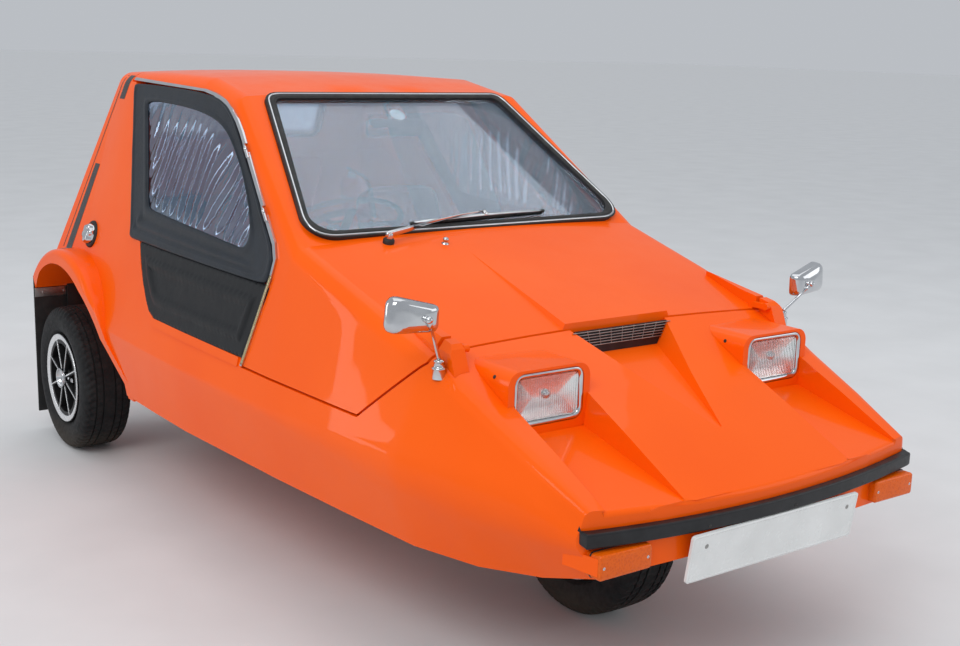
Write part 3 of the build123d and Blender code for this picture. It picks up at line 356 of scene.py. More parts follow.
def joined(parts):
    """The vertices and faces of several parts in one."""
    verts, faces = [], []
    for more_verts, more_faces in parts:
        faces += [tuple(len(verts) + i for i in face) for face in more_faces]
        verts += more_verts
    return verts, faces


def resample(points, count, closed=False):
    """Points at even steps along a polyline."""
    pts = [Vector(p) for p in points]
    if closed:
        pts.append(pts[0])
    lengths = [0.0]
    for a, b in zip(pts[:-1], pts[1:]):
        lengths.append(lengths[-1] + (b - a).length)
    total = lengths[-1]
    steps = count if closed else count - 1
    out = []
    k = 0
    for i in range(count):
        target = total * i / steps
        while k < len(lengths) - 2 and lengths[k + 1] < target:
            k += 1
        span = lengths[k + 1] - lengths[k] or 1.0
        out.append(pts[k].lerp(pts[k + 1], (target - lengths[k]) / span))
    return out


def relax(points, rounds, closed=False):
    """Softens the corners of a polyline."""
    pts = [Vector(p) for p in points]
    n = len(pts)
    for _ in range(rounds):
        new = list(pts)
        for i in range(n):
            if closed or 0 < i < n - 1:
                new[i] = pts[i] * 0.5 + (pts[i - 1] + pts[(i + 1) % n]) * 0.25
        pts = new
    return pts


def solid(name, rows, mat, body="tub", caps=True, **more):
    """A closed piece from rings of points."""
    return outward(mesh_piece(name, *loft(rows, caps), mat, body, **more))


def heading(path, i, closed=False):
    """The direction of a path at its point i."""
    if closed:
        return (path[(i + 1) % len(path)] - path[i - 1]).normalized()
    return (path[min(i + 1, len(path) - 1)] - path[max(i - 1, 0)]).normalized()


def carried(path, ups, profiles, closed=False):
    """Rings along a path: a profile of (across, up) points in metres at each point, square to the path."""
    rows = []
    for i, (p, up, profile) in enumerate(zip(path, ups, profiles)):
        along = heading(path, i, closed)
        across = along.cross(up.normalized()).normalized()
        rise = across.cross(along)
        rows.append([p + across * a + rise * b for a, b in profile])
    return rows


def sweep(name, path, ups, profile, mat, body="tub", slot=None, closed=False):
    """One profile carried along a path whose surface normals are ups."""
    rows = carried(path, ups, [profile] * len(path), closed)
    mesh = grid(rows, closed_u=True, closed_v=True) if closed else loft(rows)
    return outward(mesh_piece(name, *mesh, mat, body, slot))


def round_profile(radius, count=8, lift=0.0):
    return [(radius * math.cos(2 * math.pi * k / count), lift + radius * math.sin(2 * math.pi * k / count))
            for k in range(count)]


def bar_rows(points, radii, count):
    """Rings of count points round a path."""
    rows = []
    side = None
    for i, (p, r) in enumerate(zip(points, radii)):
        along = heading(points, i)
        side = along.orthogonal() if side is None else side
        side = (side - along * side.dot(along)).normalized()
        other = along.cross(side)
        turns = [2 * math.pi * k / count for k in range(count)]
        rows.append([p + (side * math.cos(a) + other * math.sin(a)) * r for a in turns])
    return rows


def tube(name, points, radius, mat, body="tub", count=10):
    """A round bar along a path, with one radius or a list of them in metres."""
    radii = radius if isinstance(radius, list) else [radius] * len(points)
    return solid(name, bar_rows(points, radii, count), mat, body)


def turned(name, profile, centre, axis, mat, body="tub", slot=None, steps=40, shape=None, replaces=()):
    """A profile of (along the axis, radius) in millimetres, turned about an axis through centre."""
    axis = Vector(axis).normalized()
    side = axis.orthogonal().normalized()
    other = axis.cross(side)
    rows = []
    for k in range(steps):
        a = 2 * math.pi * k / steps
        way = side * math.cos(a) + other * math.sin(a)
        radii = [shape(j, a, r) if shape else r for j, (_, r) in enumerate(profile)]
        rows.append([centre + (axis * x + way * r) * MM for (x, _), r in zip(profile, radii)])
    return outward(mesh_piece(name, *grid(rows, closed_v=True), mat, body, slot, replaces=replaces))


def box_piece(name, low, high, mat, width):
    """A block between two corners with rounded edges."""
    (x0, y0, z0), (x1, y1, z1) = low, high
    rows = [[mm(x, y, z) for x, y in ((x0, y0), (x1, y0), (x1, y1), (x0, y1))] for z in (z0, z1)]
    return bevel(solid(name, rows, mat), width, 3, 40)


def tree_of(name):
    """Ray casting on a node's surface."""
    data = NODES[name].data
    verts = [v.co.copy() for v in data.vertices]
    return BVHTree.FromPolygons(verts, [tuple(p.vertices) for p in data.polygons])


TUB = tree_of("body_tub")


def cast(skin, start, way):
    """Where a ray meets a surface, and the normal there on the ray's side."""
    way = Vector(way)
    hit, normal, _, _ = skin.ray_cast(start, way)
    return hit, -normal if normal.dot(way) > 0 else normal


def on_side(y, z, sign):
    """The point of the tub's side at y, z in millimetres, and its normal."""
    return cast(TUB, mm(sign * 1200, y, z), (-sign, 0, 0))


# Side skin of the cabin: the height of its crease, and the parts across and up of its normal
CREASE_Z = 485
LEAN_X, LEAN_Z = 0.96, 0.26
# Columns: y, crease x, shoulder x, shoulder z
SIDE_ROWS = [
    (-600, 652, 567, 808),
    (-300, 666, 568, 889),
    (193, 677, 484, 1236),
    (420, 677, 476, 1278),
    (800, 671, 470, 1280),
    (1100, 668, 466, 1270),
]


def side_x(y, z):
    y = min(max(y, SIDE_ROWS[0][0]), SIDE_ROWS[-1][0])
    for a, b in zip(SIDE_ROWS[:-1], SIDE_ROWS[1:]):
        if a[0] <= y <= b[0]:
            t = (y - a[0]) / (b[0] - a[0])
            crease, top_x, top_z = (a[k] + t * (b[k] - a[k]) for k in (1, 2, 3))
            return crease + (top_x - crease) * (z - CREASE_Z) / (top_z - CREASE_Z)
    return SIDE_ROWS[-1][1]


def side_point(y, z, sign, out):
    """A point out millimetres outside the side skin, also where the skin has a hole."""
    return mm(sign * (side_x(y, z) + out * LEAN_X), y, z + out * LEAN_Z)


# Side screens: pairs of outer and inner edge points (y, z) round the frame
SCREEN_RING = [
    (-199, 781, -24, 850), (-204, 815, -46, 858), (-203, 845, -56, 876), (-180, 880, -53, 900),
    (-70, 972, -40, 935), (30, 1056, 41, 1030), (126, 1134, 130, 1096), (186, 1181, 190, 1132),
    (240, 1209, 240, 1152), (300, 1225, 300, 1168), (420, 1235, 420, 1184), (560, 1238, 560, 1190),
    (700, 1240, 690, 1193), (860, 1240, 770, 1190), (938, 1238, 798, 1183), (931, 1210, 794, 1170),
    (885, 1120, 753, 1104), (828, 1010, 700, 1015), (770, 900, 650, 930), (719, 803, 628, 894),
    (714, 779, 614, 880), (600, 779, 560, 876), (400, 779, 400, 869), (200, 779, 200, 861),
    (0, 779, 40, 853),
]
# Across the frame from its outer to its inner edge: share, height proud of the skin
FRAME_PROFILE = [
    (0.0, 0.8), (0.0, 6.0), (0.02, 8.4), (0.06, 9.6), (0.10, 9.0), (0.13, 7.4), (0.18, 6.8), (0.24, 6.8),
    (0.30, 6.8), (0.36, 6.7), (0.42, 6.6), (0.48, 6.5), (0.54, 6.5), (0.60, 6.5), (0.66, 6.6),
    (0.72, 6.8), (0.77, 7.2), (0.82, 9.2), (0.88, 10.4), (0.94, 9.8), (0.98, 7.4), (1.0, 5.0), (1.0, 0.9),
    (0.8, 0.6), (0.4, 0.5), (0.1, 0.5),
]
# Rolls along the foot of the screen: share, height, half width
FOOT_ROLLS = [(0.20, 3.4, 0.07), (0.33, -4.2, 0.035), (0.46, 4.6, 0.08), (0.64, -3.6, 0.05)]


def ring_lines():
    """The outer and the inner edge of the frame, at even shares of each side of the ring."""
    steps = 6
    outer = [Vector((p[0], p[1], 0)) for p in SCREEN_RING]
    inner = [Vector((p[2], p[3], 0)) for p in SCREEN_RING]
    n = len(SCREEN_RING)
    a, b = [], []
    for i in range(n):
        for k in range(steps):
            t = k / steps
            a.append(outer[i].lerp(outer[(i + 1) % n], t))
            b.append(inner[i].lerp(inner[(i + 1) % n], t))
    return relax(a, 4, True), relax(b, 10, True)


def screen_frame(tag, sign, body):
    outer, inner = ring_lines()
    rows = []
    for p, q in zip(outer, inner):
        row = []
        for share, height in FRAME_PROFILE:
            c = p.lerp(q, share)
            if height > 3:
                height += noise.noise(Vector((c.x * 0.02, c.y * 0.02, sign * 3.0))) * 0.9
                foot = min(1.0, max(0.0, (812 - p.y) / 20)) * min(1.0, max(0.0, (p.x + 190) / 60))
                for middle, rise, half in FOOT_ROLLS:
                    height += foot * rise * math.exp(-((share - middle) / half) ** 2)
            row.append(side_point(c.x, c.y, sign, height))
        rows.append(row)
    mesh = grid(rows, closed_u=True, closed_v=True)
    obj = outward(mesh_piece("screen_cover_" + tag, *mesh, CLOTH, body, replaces=("screen_frame_" + tag,)))


def coons(u, v, low, high, left, right):
    """A point inside four edge curves given as functions of 0 to 1."""
    a = low(u) * (1 - v) + high(u) * v
    b = left(v) * (1 - u) + right(v) * u
    c = (low(0) * (1 - u) * (1 - v) + low(1) * u * (1 - v) + high(0) * (1 - u) * v + high(1) * u * v)
    return a + b - c


def curve_through(points):
    pts = resample([(y, z, 0) for y, z in points], 60)

    def at(t):
        s = t * (len(pts) - 1)
        i = min(int(s), len(pts) - 2)
        return pts[i].lerp(pts[i + 1], s - i)

    return at


# Clear window: how proud of the skin it lies, and the heights of its folds and of the puckers at its foot
WINDOW_LIFT = 2.4
FOLD_HEIGHT = 5.2
PUCKER_HEIGHT = 3.2


def clear_window(tag, sign, body):
    """The flexible clear sheet, pulled into slanted folds by its lower edge."""
    low = curve_through([(-36, 842), (40, 845), (200, 853), (400, 861), (626, 872)])
    high = curve_through([(60, 1050), (142, 1120), (196, 1142), (240, 1160), (300, 1176), (420, 1192),
                          (560, 1198), (690, 1201), (808, 1190)])
    front = curve_through([(-36, 842), (-58, 862), (-64, 885), (-50, 925), (0, 988), (60, 1050)])
    rear = curve_through([(626, 872), (700, 998), (808, 1190)])

    def point(u, v):
        c = coons(u, v, low, high, front, rear)
        rim = min(1.0, u * 9, (1 - u) * 9) * min(1.0, v * 6) * min(1.0, (1 - v) * 3.0)
        slant = c.x + (c.y - 850) * (0.16 + 0.40 * (1 - u))
        warp = noise.noise(Vector((c.x * 0.006, c.y * 0.004, 5.1))) * 2.2
        fold = math.sin(slant * 0.118 + warp * 2.4)
        fold += 0.42 * math.sin(slant * 0.235 + warp * 4.1 + 1.3)
        fall = 0.52 + 0.48 * (1 - v) ** 0.6
        pucker = noise.noise(Vector((c.x * 0.035, c.y * 0.05, 2.0))) * (1.0 - min(1.0, v * 2.5))
        height = WINDOW_LIFT + rim * (FOLD_HEIGHT * fold * fall + PUCKER_HEIGHT * pucker)
        return side_point(c.x, c.y, sign, height)

    stands_for = ("screen_window_" + tag,)
    obj = mesh_piece("clear_window_" + tag, *net(190, 60, point), VINYL, body, replaces=stands_for)
    if sign < 0:
        obj.data.flip_normals()


# Edges of the lower panel as (y, z), and its height proud of the skin by the distance from the edge
PANEL_FOOT = [(-153, 594), (0, 592), (200, 592), (408, 592), (452, 604), (496, 636)]
PANEL_REAR = [(496, 636), (536, 672), (574, 716), (596, 742), (618, 773)]
PANEL_FRONT = [(-153, 594), (-203, 773)]
PANEL_HEAD = [(-203, 773), (618, 773)]
PANEL_PROFILE = [
    (0, -6), (1.5, -4.2), (5, -3.4), (26, -3.4), (33, -2.2), (38, 1.0), (43, 3.0), (47, 3.2), (52, 1.2),
    (58, -2.0), (66, -3.8), (84, -4.6), (400, -4.0),
]


def lower_panel(tag, sign):
    """The padded lower panel with its raised sewn border."""
    low, high = curve_through(PANEL_FOOT), curve_through(PANEL_HEAD)
    front, rear = curve_through(PANEL_FRONT), curve_through(PANEL_REAR)
    edge = [curve(k / 30) for curve in (low, high, front, rear) for k in range(31)]

    def point(s, t):
        u, v = 0.5 - 0.5 * math.cos(math.pi * s), 0.5 - 0.5 * math.cos(math.pi * t)
        c = coons(u, v, low, high, front, rear)
        away = min((c - p).length for p in edge) if 0 < s < 1 and 0 < t < 1 else 0
        for (d0, h0), (d1, h1) in zip(PANEL_PROFILE[:-1], PANEL_PROFILE[1:]):
            if d0 <= away <= d1:
                height = h0 + (h1 - h0) * (away - d0) / (d1 - d0)
                break
        height += noise.noise(Vector((c.x * 0.012, c.y * 0.012, 7.7))) * min(1.2, away * 0.05)
        return side_point(c.x, c.y, sign, height)

    stands_for = ("lower_panel_" + tag,)
    obj = mesh_piece("lower_screen_" + tag, *net(170, 60, point), PANEL_CLOTH, "canopy", replaces=stands_for)
    if sign > 0:
        obj.data.flip_normals()
    thicken(obj, 0.010)


for tag, sign in SIDES:
    screen_body = "side_screen_" + tag
    screen_frame(tag, sign, screen_body)
    clear_window(tag, sign, screen_body)
    lower_panel(tag, sign)


# Panels of the shell: soft edges and one smooth shade across the skin
SHARP_ANGLE = 16


def new_group(name):
    """An empty geometry group, the geometry that enters it and its last node."""
    group = bpy.data.node_groups.new(name, "GeometryNodeTree")
    for way in ("INPUT", "OUTPUT"):
        group.interface.new_socket("Geometry", in_out=way, socket_type="NodeSocketGeometry")
    return group, add_node(group, "NodeGroupInput").outputs["Geometry"], add_node(group, "NodeGroupOutput")


def compare(group, source, operation, limit):
    test = add_node(group, "FunctionNodeCompare", {"A": source, "B": limit}, operation=operation)
    return test.outputs["Result"]


def smooth_group():
    """Nodes that join split corners and shade smoothly below the sharp angle."""
    group, flow, end = new_group("soft_shade")
    angle = add_node(group, "GeometryNodeInputMeshEdgeAngle").outputs["Unsigned Angle"]
    sharp = compare(group, angle, "GREATER_THAN", math.radians(SHARP_ANGLE))
    for kind, inputs, settings in (
        ("MergeByDistance", {"Distance": 1e-5}, {}),
        ("RemoveAttribute", {"Name": "custom_normal"}, {}),
        ("SetShadeSmooth", {}, {"domain": "FACE"}),
        ("SetShadeSmooth", {"Shade Smooth": False, "Selection": sharp}, {"domain": "EDGE"}),
    ):
        node = add_node(group, "GeometryNode" + kind, {"Geometry": flow, **inputs}, **settings)
        flow = node.outputs["Geometry"]
    feed(group, end, {"Geometry": flow})
    return group


SOFT = smooth_group()


def lip_group():
    """Nodes that mark the sharp front edge of the deck for a wider bevel."""
    group, flow, end = new_group("deck_lip")
    place = add_node(group, "GeometryNodeInputPosition").outputs["Position"]
    place = add_node(group, "ShaderNodeSeparateXYZ", {"Vector": place}).outputs
    angle = add_node(group, "GeometryNodeInputMeshEdgeAngle").outputs["Unsigned Angle"]
    ends = add_node(group, "GeometryNodeInputMeshEdgeVertices").outputs
    along = {0: ends["Position 1"], 1: ends["Position 2"]}
    for operation in ("SUBTRACT", "NORMALIZE", "ABSOLUTE"):
        node = add_node(group, "ShaderNodeVectorMath", along, operation=operation)
        along = {0: node.outputs["Vector"]}
    across = add_node(group, "ShaderNodeSeparateXYZ", {0: along[0]}).outputs["X"]
    chosen = True
    for source, operation, limit in (
        (place["X"], "GREATER_THAN", -LIP_X),
        (place["X"], "LESS_THAN", LIP_X),
        (place["Y"], "LESS_THAN", LIP_Y),
        (place["Z"], "GREATER_THAN", LIP_Z),
        (across, "GREATER_THAN", LIP_ACROSS),
        (angle, "GREATER_THAN", math.radians(LIP_ANGLE)),
    ):
        tests = {0: chosen, 1: compare(group, source, operation, limit)}
        chosen = add_node(group, "FunctionNodeBooleanMath", tests).outputs["Boolean"]
    inputs = {"Geometry": flow, "Selection": chosen, "Name": "bevel_weight_edge", "Value": 1.0}
    store = add_node(group, "GeometryNodeStoreNamedAttribute", inputs, data_type="FLOAT", domain="EDGE")
    feed(group, end, {"Geometry": store.outputs["Geometry"]})
    return group


# Where the deck's front edge is rounded, in metres, and the least share across and angle of its edges
LIP_X = 0.46
LIP_Y = -1.30
LIP_Z = 0.476
LIP_ACROSS = 0.8
LIP_ANGLE = 40
LIP_RADIUS = 0.009


def round_lip(obj):
    obj.modifiers.new("mark", "NODES").node_group = lip_group()
    bevel(obj, LIP_RADIUS, 5, clamp=False, name="lip")


def soften(name, width=0.0):
    obj = NODES[name]
    obj.modifiers.new("join", "NODES").node_group = SOFT
    if name == "body_tub":
        round_lip(obj)
    if width:
        bevel(obj, width, 3, 35, clamp=name != "front_bumper")
        obj.modifiers.new("shade", "NODES").node_group = SOFT


# Width of the bevel, in metres, and the nodes that have it
EDGES = (
    (0.0025, "body_tub canopy_shell"),
    (0.002, "boot_lid hinge_fairings"),
    (0.005, "headlamp_pod_left headlamp_pod_right"),
    (0.004, "front_bumper"),
    (0.001, "canopy_strip_left canopy_strip_right front_rim rear_rim_left rear_rim_right front_arm"),
    (0.001, "chassis_frame rear_axle rear_links propshaft exhaust steering_wheel steering_column"),
    (0.001, "interior_mirror dash_panel windscreen_seal rear_window_seal mudflaps"),
    (0.0, "windscreen rear_window engine_block front_plate rear_plate"),
)
for width, names in EDGES:
    for name in names.split():
        soften(name, width)


def rounded(points, radii, steps=7):
    """A closed outline of (a, b) points with each corner rounded."""
    out = []
    n = len(points)
    for i in range(n):
        p = Vector((*points[i], 0))
        to_last = (Vector((*points[i - 1], 0)) - p).normalized()
        to_next = (Vector((*points[(i + 1) % n], 0)) - p).normalized()
        half = to_last.angle(to_next) / 2
        reach = radii[i] / math.tan(half)
        a = p + to_last * reach
        b = p + to_next * reach
        for k in range(steps + 1):
            t = k / steps
            q = a * (1 - t) ** 2 + p * 2 * t * (1 - t) + b * t * t
            out.append((q.x, q.y))
    return out


def rect(width, height, radius, steps=7):
    w, h = width / 2, height / 2
    return rounded([(-w, -h), (w, -h), (w, h), (-w, h)], [radius] * 4, steps)


class Board:
    """A flat board in space: origin in millimetres, u along its width and v up it, n out of its face."""

    def __init__(self, origin, u, v):
        self.origin = Vector(origin)
        self.u = Vector(u).normalized()
        self.v = Vector(v).normalized()
        self.n = self.u.cross(self.v)

    def at(self, a, b, out=0.0):
        return (self.origin + self.u * a + self.v * b + self.n * out) * MM


def layered(name, board, rings, mat, caps=True):
    """Rings of points on a board, each (outline, height), joined into a form with flat ends."""
    rows = [[board.at(a, b, out) for a, b in outline] for outline, out in rings]
    return solid(name, rows, mat, caps=caps)


def stepped(outline, steps):
    """Rings on a board from one outline: how far each is moved in, and its height."""
    return [(scaled(outline, inset), out) for inset, out in steps]


def scaled(outline, amount):
    """An outline moved inwards by about amount."""
    n = len(outline)
    out = []
    for i in range(n):
        a = Vector((*outline[i - 1], 0))
        b = Vector((*outline[(i + 1) % n], 0))
        along = (b - a).normalized()
        out.append((outline[i][0] - along.y * amount, outline[i][1] + along.x * amount))
    return out


# Windscreen seal: a bright insert in the rubber
SCREEN_FOOT = Vector((0, -296, 903))
SCREEN_HEAD = Vector((0, 193, 1243))
SCREEN_HALF_LOW = 535
SCREEN_HALF_HIGH = 409


def screen_board():
    return Board(SCREEN_FOOT, (1, 0, 0), SCREEN_HEAD - SCREEN_FOOT)


def screen_line(inset):
    tall = (SCREEN_HEAD - SCREEN_FOOT).length
    low, high = SCREEN_HALF_LOW - inset, SCREEN_HALF_HIGH - inset
    corners = [(-low, inset), (low, inset), (high, tall - inset), (-high, tall - inset)]
    radii = [78 - inset * 0.8] * 2 + [50 - inset * 0.8] * 2
    return rounded(corners, radii, 10)


def ring_sweep(name, board, outline, profile, mat, body="tub", slot=None):
    path = resample([board.at(a, b) for a, b in outline], 220, True)
    return sweep(name, path, [board.n] * len(path), profile, mat, body, slot, closed=True)


def windscreen_trim():
    board = screen_board()
    insert = [(-0.0034, 0.0055), (-0.0026, 0.0078), (0, 0.0087), (0.0026, 0.0078), (0.0034, 0.0055)]
    ring_sweep("windscreen_insert", board, screen_line(8), insert, CHROME, "canopy")
    for inset, width, lift in ((3.4, 3.2, 0.0070), (18.0, 6.5, 0.0072)):
        foot, top = width * MM, width * 0.6 * MM
        lip = [(-foot, 0.005), (-top, lift), (top, lift), (foot, 0.005)]
        ring_sweep("windscreen_lip_%d" % inset, board, screen_line(inset), lip, RUBBER, "canopy")


windscreen_trim()


# Tyres and wheels
WHEELS = {
    "front": ((0, -804, 243), -1, "front_wheel"),
    "rear_left": ((609.5, 1152, 243), 1, "rear_wheel_left"),
    "rear_right": ((-609.5, 1152, 243), -1, "rear_wheel_right"),
}
TREAD_BLOCKS = 62
# The part of each block's length that is groove, and how far the grooves slant, in blocks per millimetre
GROOVE_SHARE = 0.26
GROOVE_SLANT = 0.018
# Half section of the tyre from the bead to the middle of the tread: across, radius, tread depth
TYRE_HALF = [
    (60, 128, 0), (62, 139, 0), (61, 151, 0), (68, 156, 0), (73, 162, 0), (75.5, 164, 0), (76, 167, 0),
    (79.5, 176, 0), (81.8, 190, 0), (82.3, 200, 0), (81.2, 210, 0), (79, 219, 0), (78.2, 220.5, 0.0),
    (77.6, 224, 3.2), (75, 230, 5.0), (70, 236, 5.5), (64, 239.6, 5.5), (55, 241.4, 5.0),
    (46.5, 242.2, 2.0), (45.5, 236.5, 0), (41.5, 236.5, 0), (40.5, 242.4, 3.0), (32, 242.8, 4.5),
    (23, 242.9, 3.0), (22, 237, 0), (18, 237, 0), (17, 243, 0), (9, 243, 3.0), (0.8, 243, 0),
]


def tyre(name, centre, body, node):
    section = TYRE_HALF + [(-x, r, depth) for x, r, depth in TYRE_HALF[::-1]]

    def shape(j, a, r):
        """Cuts the grooves between the blocks of the tread."""
        x, _, depth = section[j]
        turn = a * TREAD_BLOCKS / (2 * math.pi) + x * GROOVE_SLANT + (0.5 if x < 0 else 0)
        return r - depth if turn % 1.0 < GROOVE_SHARE else r

    profile = [(x, r) for x, r, _ in section]
    obj = turned(name, profile, centre, (1, 0, 0), TYRE, body, steps=TREAD_BLOCKS * 4, shape=shape)
    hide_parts(node)
    obj.data.set_sharp_from_angle(angle=math.radians(38))


RIM_RIBS = 8
# Wheel nuts: distance from the axle, the six corners, and the place along the axle and radius of each ring
NUT_RADIUS = 54
HEXAGON = [math.pi * k / 3 for k in range(6)]
NUT = [(50.5, 11), (62, 11), (65.5, 7), (65.5, 0.5)]
RIM_LIP = [
    (73.6, 131), (75.0, 131.6), (75.8, 134), (77.4, 143), (78.6, 148), (78.4, 150), (76.5, 150.4),
    (73.6, 150.4),
]
HUB_CAP = [
    (58, 34), (84, 34), (86.2, 33.2), (87, 31.6), (86.6, 30.2), (85, 29.6), (73, 29), (71.4, 26),
    (71, 0.4), (58, 0.4),
]


def rim_bars(name, centre, sign, body, mat, half, front, back, low, high):
    """One bar to each rib of the rim, from the radius low to high and between two places along the axle."""
    corners = ((-half, low), (half, low), (half, high), (-half, high))
    bars = []
    for i in range(RIM_RIBS):
        spin = Matrix.Rotation(2 * math.pi * (i + 0.5) / RIM_RIBS, 3, "X")
        bars.append(loft([[centre + spin @ mm(sign * x, y, z) for y, z in corners] for x in (back, front)]))
    bevel(outward(mesh_piece(name, *joined(bars), mat, body, smooth=False)), FINE_EDGE, 2, 40)


def wheel_trim(tag, centre, sign, body):
    axis = (sign, 0, 0)
    turned("wheel_lip_" + tag, RIM_LIP, centre, axis, SILVER, body, steps=96)
    turned("wheel_cap_" + tag, HUB_CAP, centre, axis, CHROME, body, steps=48)
    rim_bars("wheel_ribs_" + tag, centre, sign, body, RIM_BLACK, 5.5, 72, 56, 33, 121)
    rim_bars("wheel_spokes_" + tag, centre, sign, body, SILVER, 1.9, 74.6, 71, 32, 132)
    nuts = []
    for i in range(4):
        spin = Matrix.Rotation(math.pi / 2 * i, 3, "X")
        rows = []
        for x, r in NUT:
            ring = [mm(sign * x, r * math.cos(a), NUT_RADIUS + r * math.sin(a)) for a in HEXAGON]
            rows.append([centre + spin @ p for p in ring])
        nuts.append(loft(rows))
    outward(mesh_piece("wheel_nuts_" + tag, *joined(nuts), CHROME, body, smooth=False))


for tag, (centre, sign, wheel_body) in WHEELS.items():
    centre = mm(*centre)
    tyre("tyre_" + tag, centre, wheel_body, wheel_body.replace("wheel", "tyre"))
    wheel_trim(tag, centre, sign, wheel_body)


# Headlamps: the middle, and the width, height and corner radius
LAMP = (357, -1050, 658)
LAMP_SIZE = (190, 118, 27)
# Each ring of the rim as its inset and height, the step inwards of the bowl's rings, and the lens
LAMP_RIM = [(0, -16), (0, -2.5), (1.5, -0.5), (4, 0.4), (8, -1.2), (11, -5), (11.5, -8), (10, -16)]
BOWL_STEP = 8.0
LENS_DOME = 2.4
FLUTE_DEPTH = 0.9
FLUTE_WIDTH = 6.0


def headlamp(tag, sign):
    board = Board((sign * LAMP[0], LAMP[1], LAMP[2]), (1, 0, 0), (0, 0, 1))
    wide, tall, radius = LAMP_SIZE
    outer = rect(wide, tall, radius, 9)
    rim = stepped(outer, LAMP_RIM)
    layered("lamp_rim_" + tag, board, rim, CHROME, caps=False)
    inner = scaled(outer, 10.8)
    bowl = stepped(inner, [(k * BOWL_STEP, -6.5 - 9.5 * (1 - (1 - k / 6) ** 2)) for k in range(7)])
    layered("lamp_bowl_" + tag, board, bowl, REFLECTOR, caps=False)
    half_w, half_t = wide / 2 - 10.5, tall / 2 - 10.5

    def point(s, t):
        u, v = s * 2 - 1, t * 2 - 1
        corner = max(0.0, abs(u) - 0.80) / 0.20
        a, b = u * half_w, v * half_t * (1 - 0.16 * corner * corner)
        dome = LENS_DOME * (1 - u ** 4) * (1 - v ** 4)
        fluted = abs(u) < 0.93 and abs(v) < 0.9
        flute = FLUTE_DEPTH * abs(math.sin(a * math.pi / FLUTE_WIDTH)) if fluted else 0
        return board.at(a, b, -4.5 + dome + flute)

    stands_for = ("headlamp_" + tag,)
    lens = mesh_piece("lamp_lens_" + tag, *net(120, 30, point), LAMP_GLASS, replaces=stands_for)
    thicken(lens, 0.0018)
    bulb = [(-15, 0.5), (-15, 11), (-10, 9), (-7, 6), (-5.6, 0.5)]
    turned("lamp_bulb_" + tag, bulb, board.at(0, 4), board.n, CHROME, steps=24)


for tag, sign in SIDES:
    headlamp(tag, sign)


# Grille wires over the dark panel in the scoop, and the foot and top of its opening
GRILLE_Z = (706, 744)


def grille():
    low, high = GRILLE_Z
    wires = []
    for k in range(6):
        z = low + 2 + (high - low - 4) * k / 5
        half = 131 + (z - 697) * 0.56
        wires.append((mm(-half, -883.5, z), mm(half, -883.5, z), 0.0013))
    for k in range(9):
        x = -140 + 280 * k / 8
        wires.append((mm(x * 0.95, -882, low), mm(x * 1.06, -882, high), 0.0011))
    rods = [loft(bar_rows((p, q), (r, r), 6), caps=False) for p, q, r in wires]
    outward(mesh_piece("grille_wires", *joined(rods), ALLOY, slot="black_trim"))


grille()


# Front lamps below the bumper
INDICATOR = (421, -1350.5, 410)
INDICATOR_SIZE = (138, 52)


def indicator(tag, sign):
    x, y, z = INDICATOR
    board = Board((sign * x, y, z), (1, 0, 0), (0, 0, 1))
    outer = rect(*INDICATOR_SIZE, 8, 5)
    lens = stepped(outer, [(0.5, -12), (0, -9), (0, 30), (2, 33), (6, 33.5)])
    layered("indicator_" + tag, board, lens, AMBER)
    gasket = stepped(outer, [(-0.6, 2), (-1.4, 3), (-1.4, 5), (-0.6, 6)])
    layered("indicator_gasket_" + tag, board, gasket, RUBBER)

    def point(s, t):
        return board.at(-26 + 52 * s, -19 + 38 * t, 33.0 + FLUTE_DEPTH * abs(math.sin(12 * math.pi * s)))

    thicken(mesh_piece("indicator_ribs_" + tag, *net(48, 13, point), AMBER), 0.001)
    for k, a in enumerate((-58, 58)):
        screw(f"indicator_screw_{tag}_{k}", board.at(a, 0, 33.0), board.n, 3.6, CHROME)


# Screw head: millimetres along its axis and share of its radius
SCREW = [(-1, 1), (0.2, 1), (0.9, 0.8), (1.2, 0.45), (0.4, 0.25)]


def screw(name, place, axis, radius, mat):
    profile = [(x, radius * share) for x, share in SCREW] + [(0.4, 0.1)]
    turned(name, profile, place, axis, mat, slot="chrome", steps=16)


for tag, sign in SIDES:
    indicator(tag, sign)
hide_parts("front_indicators")


# Plates: a pressed border and fixing screws, with no characters
# Columns: middle, across, up, width, height, material
PLATES = {
    "front": ((0, -1398.49, 383), (1, 0, 0), (0, -0.1392, 0.9903), 520, 108, PLATE_WHITE),
    "rear": ((0, 1397, 485.5), (-1, 0, 0), (0, 0, 1), 520, 111, PLATE_YELLOW),
}
for tag, (centre, across, up, width, height, mat) in PLATES.items():
    board = Board(centre, across, up)
    outer = rect(width - 8, height - 8, 7, 6)
    border = [(-0.0028, -0.0004), (-0.0014, 0.0007), (0.0014, 0.0007), (0.0028, -0.0004)]
    ring_sweep(tag + "_plate_border", board, outer, border, mat)
    for k, a in enumerate((-width / 2 + 44, width / 2 - 32)):
        screw(f"{tag}_plate_screw_{k}", board.at(a, 24, -0.2), board.n, 5.5, ALLOY)


def flat_section(width, height):
    """A rounded flat section, in metres from its size in millimetres."""
    w, h = width * MM / 2, height * MM / 2
    r = min(w, h) * 0.6
    section = []
    for a, b, start in ((w - r, h - r, 0), (r - w, h - r, 90), (r - w, r - h, 180), (w - r, r - h, 270)):
        turns = [math.radians(start + 30 * k) for k in range(4)]
        section += [(a + r * math.cos(turn), b + r * math.sin(turn)) for turn in turns]
    return section


def taper(name, path, up, sizes, mat, body="tub"):
    """A bar with a rounded flat section along a path; sizes are its width and height at each point."""
    rows = carried(path, [up] * len(path), [flat_section(*size) for size in sizes])
    return solid(name, rows, mat, body)


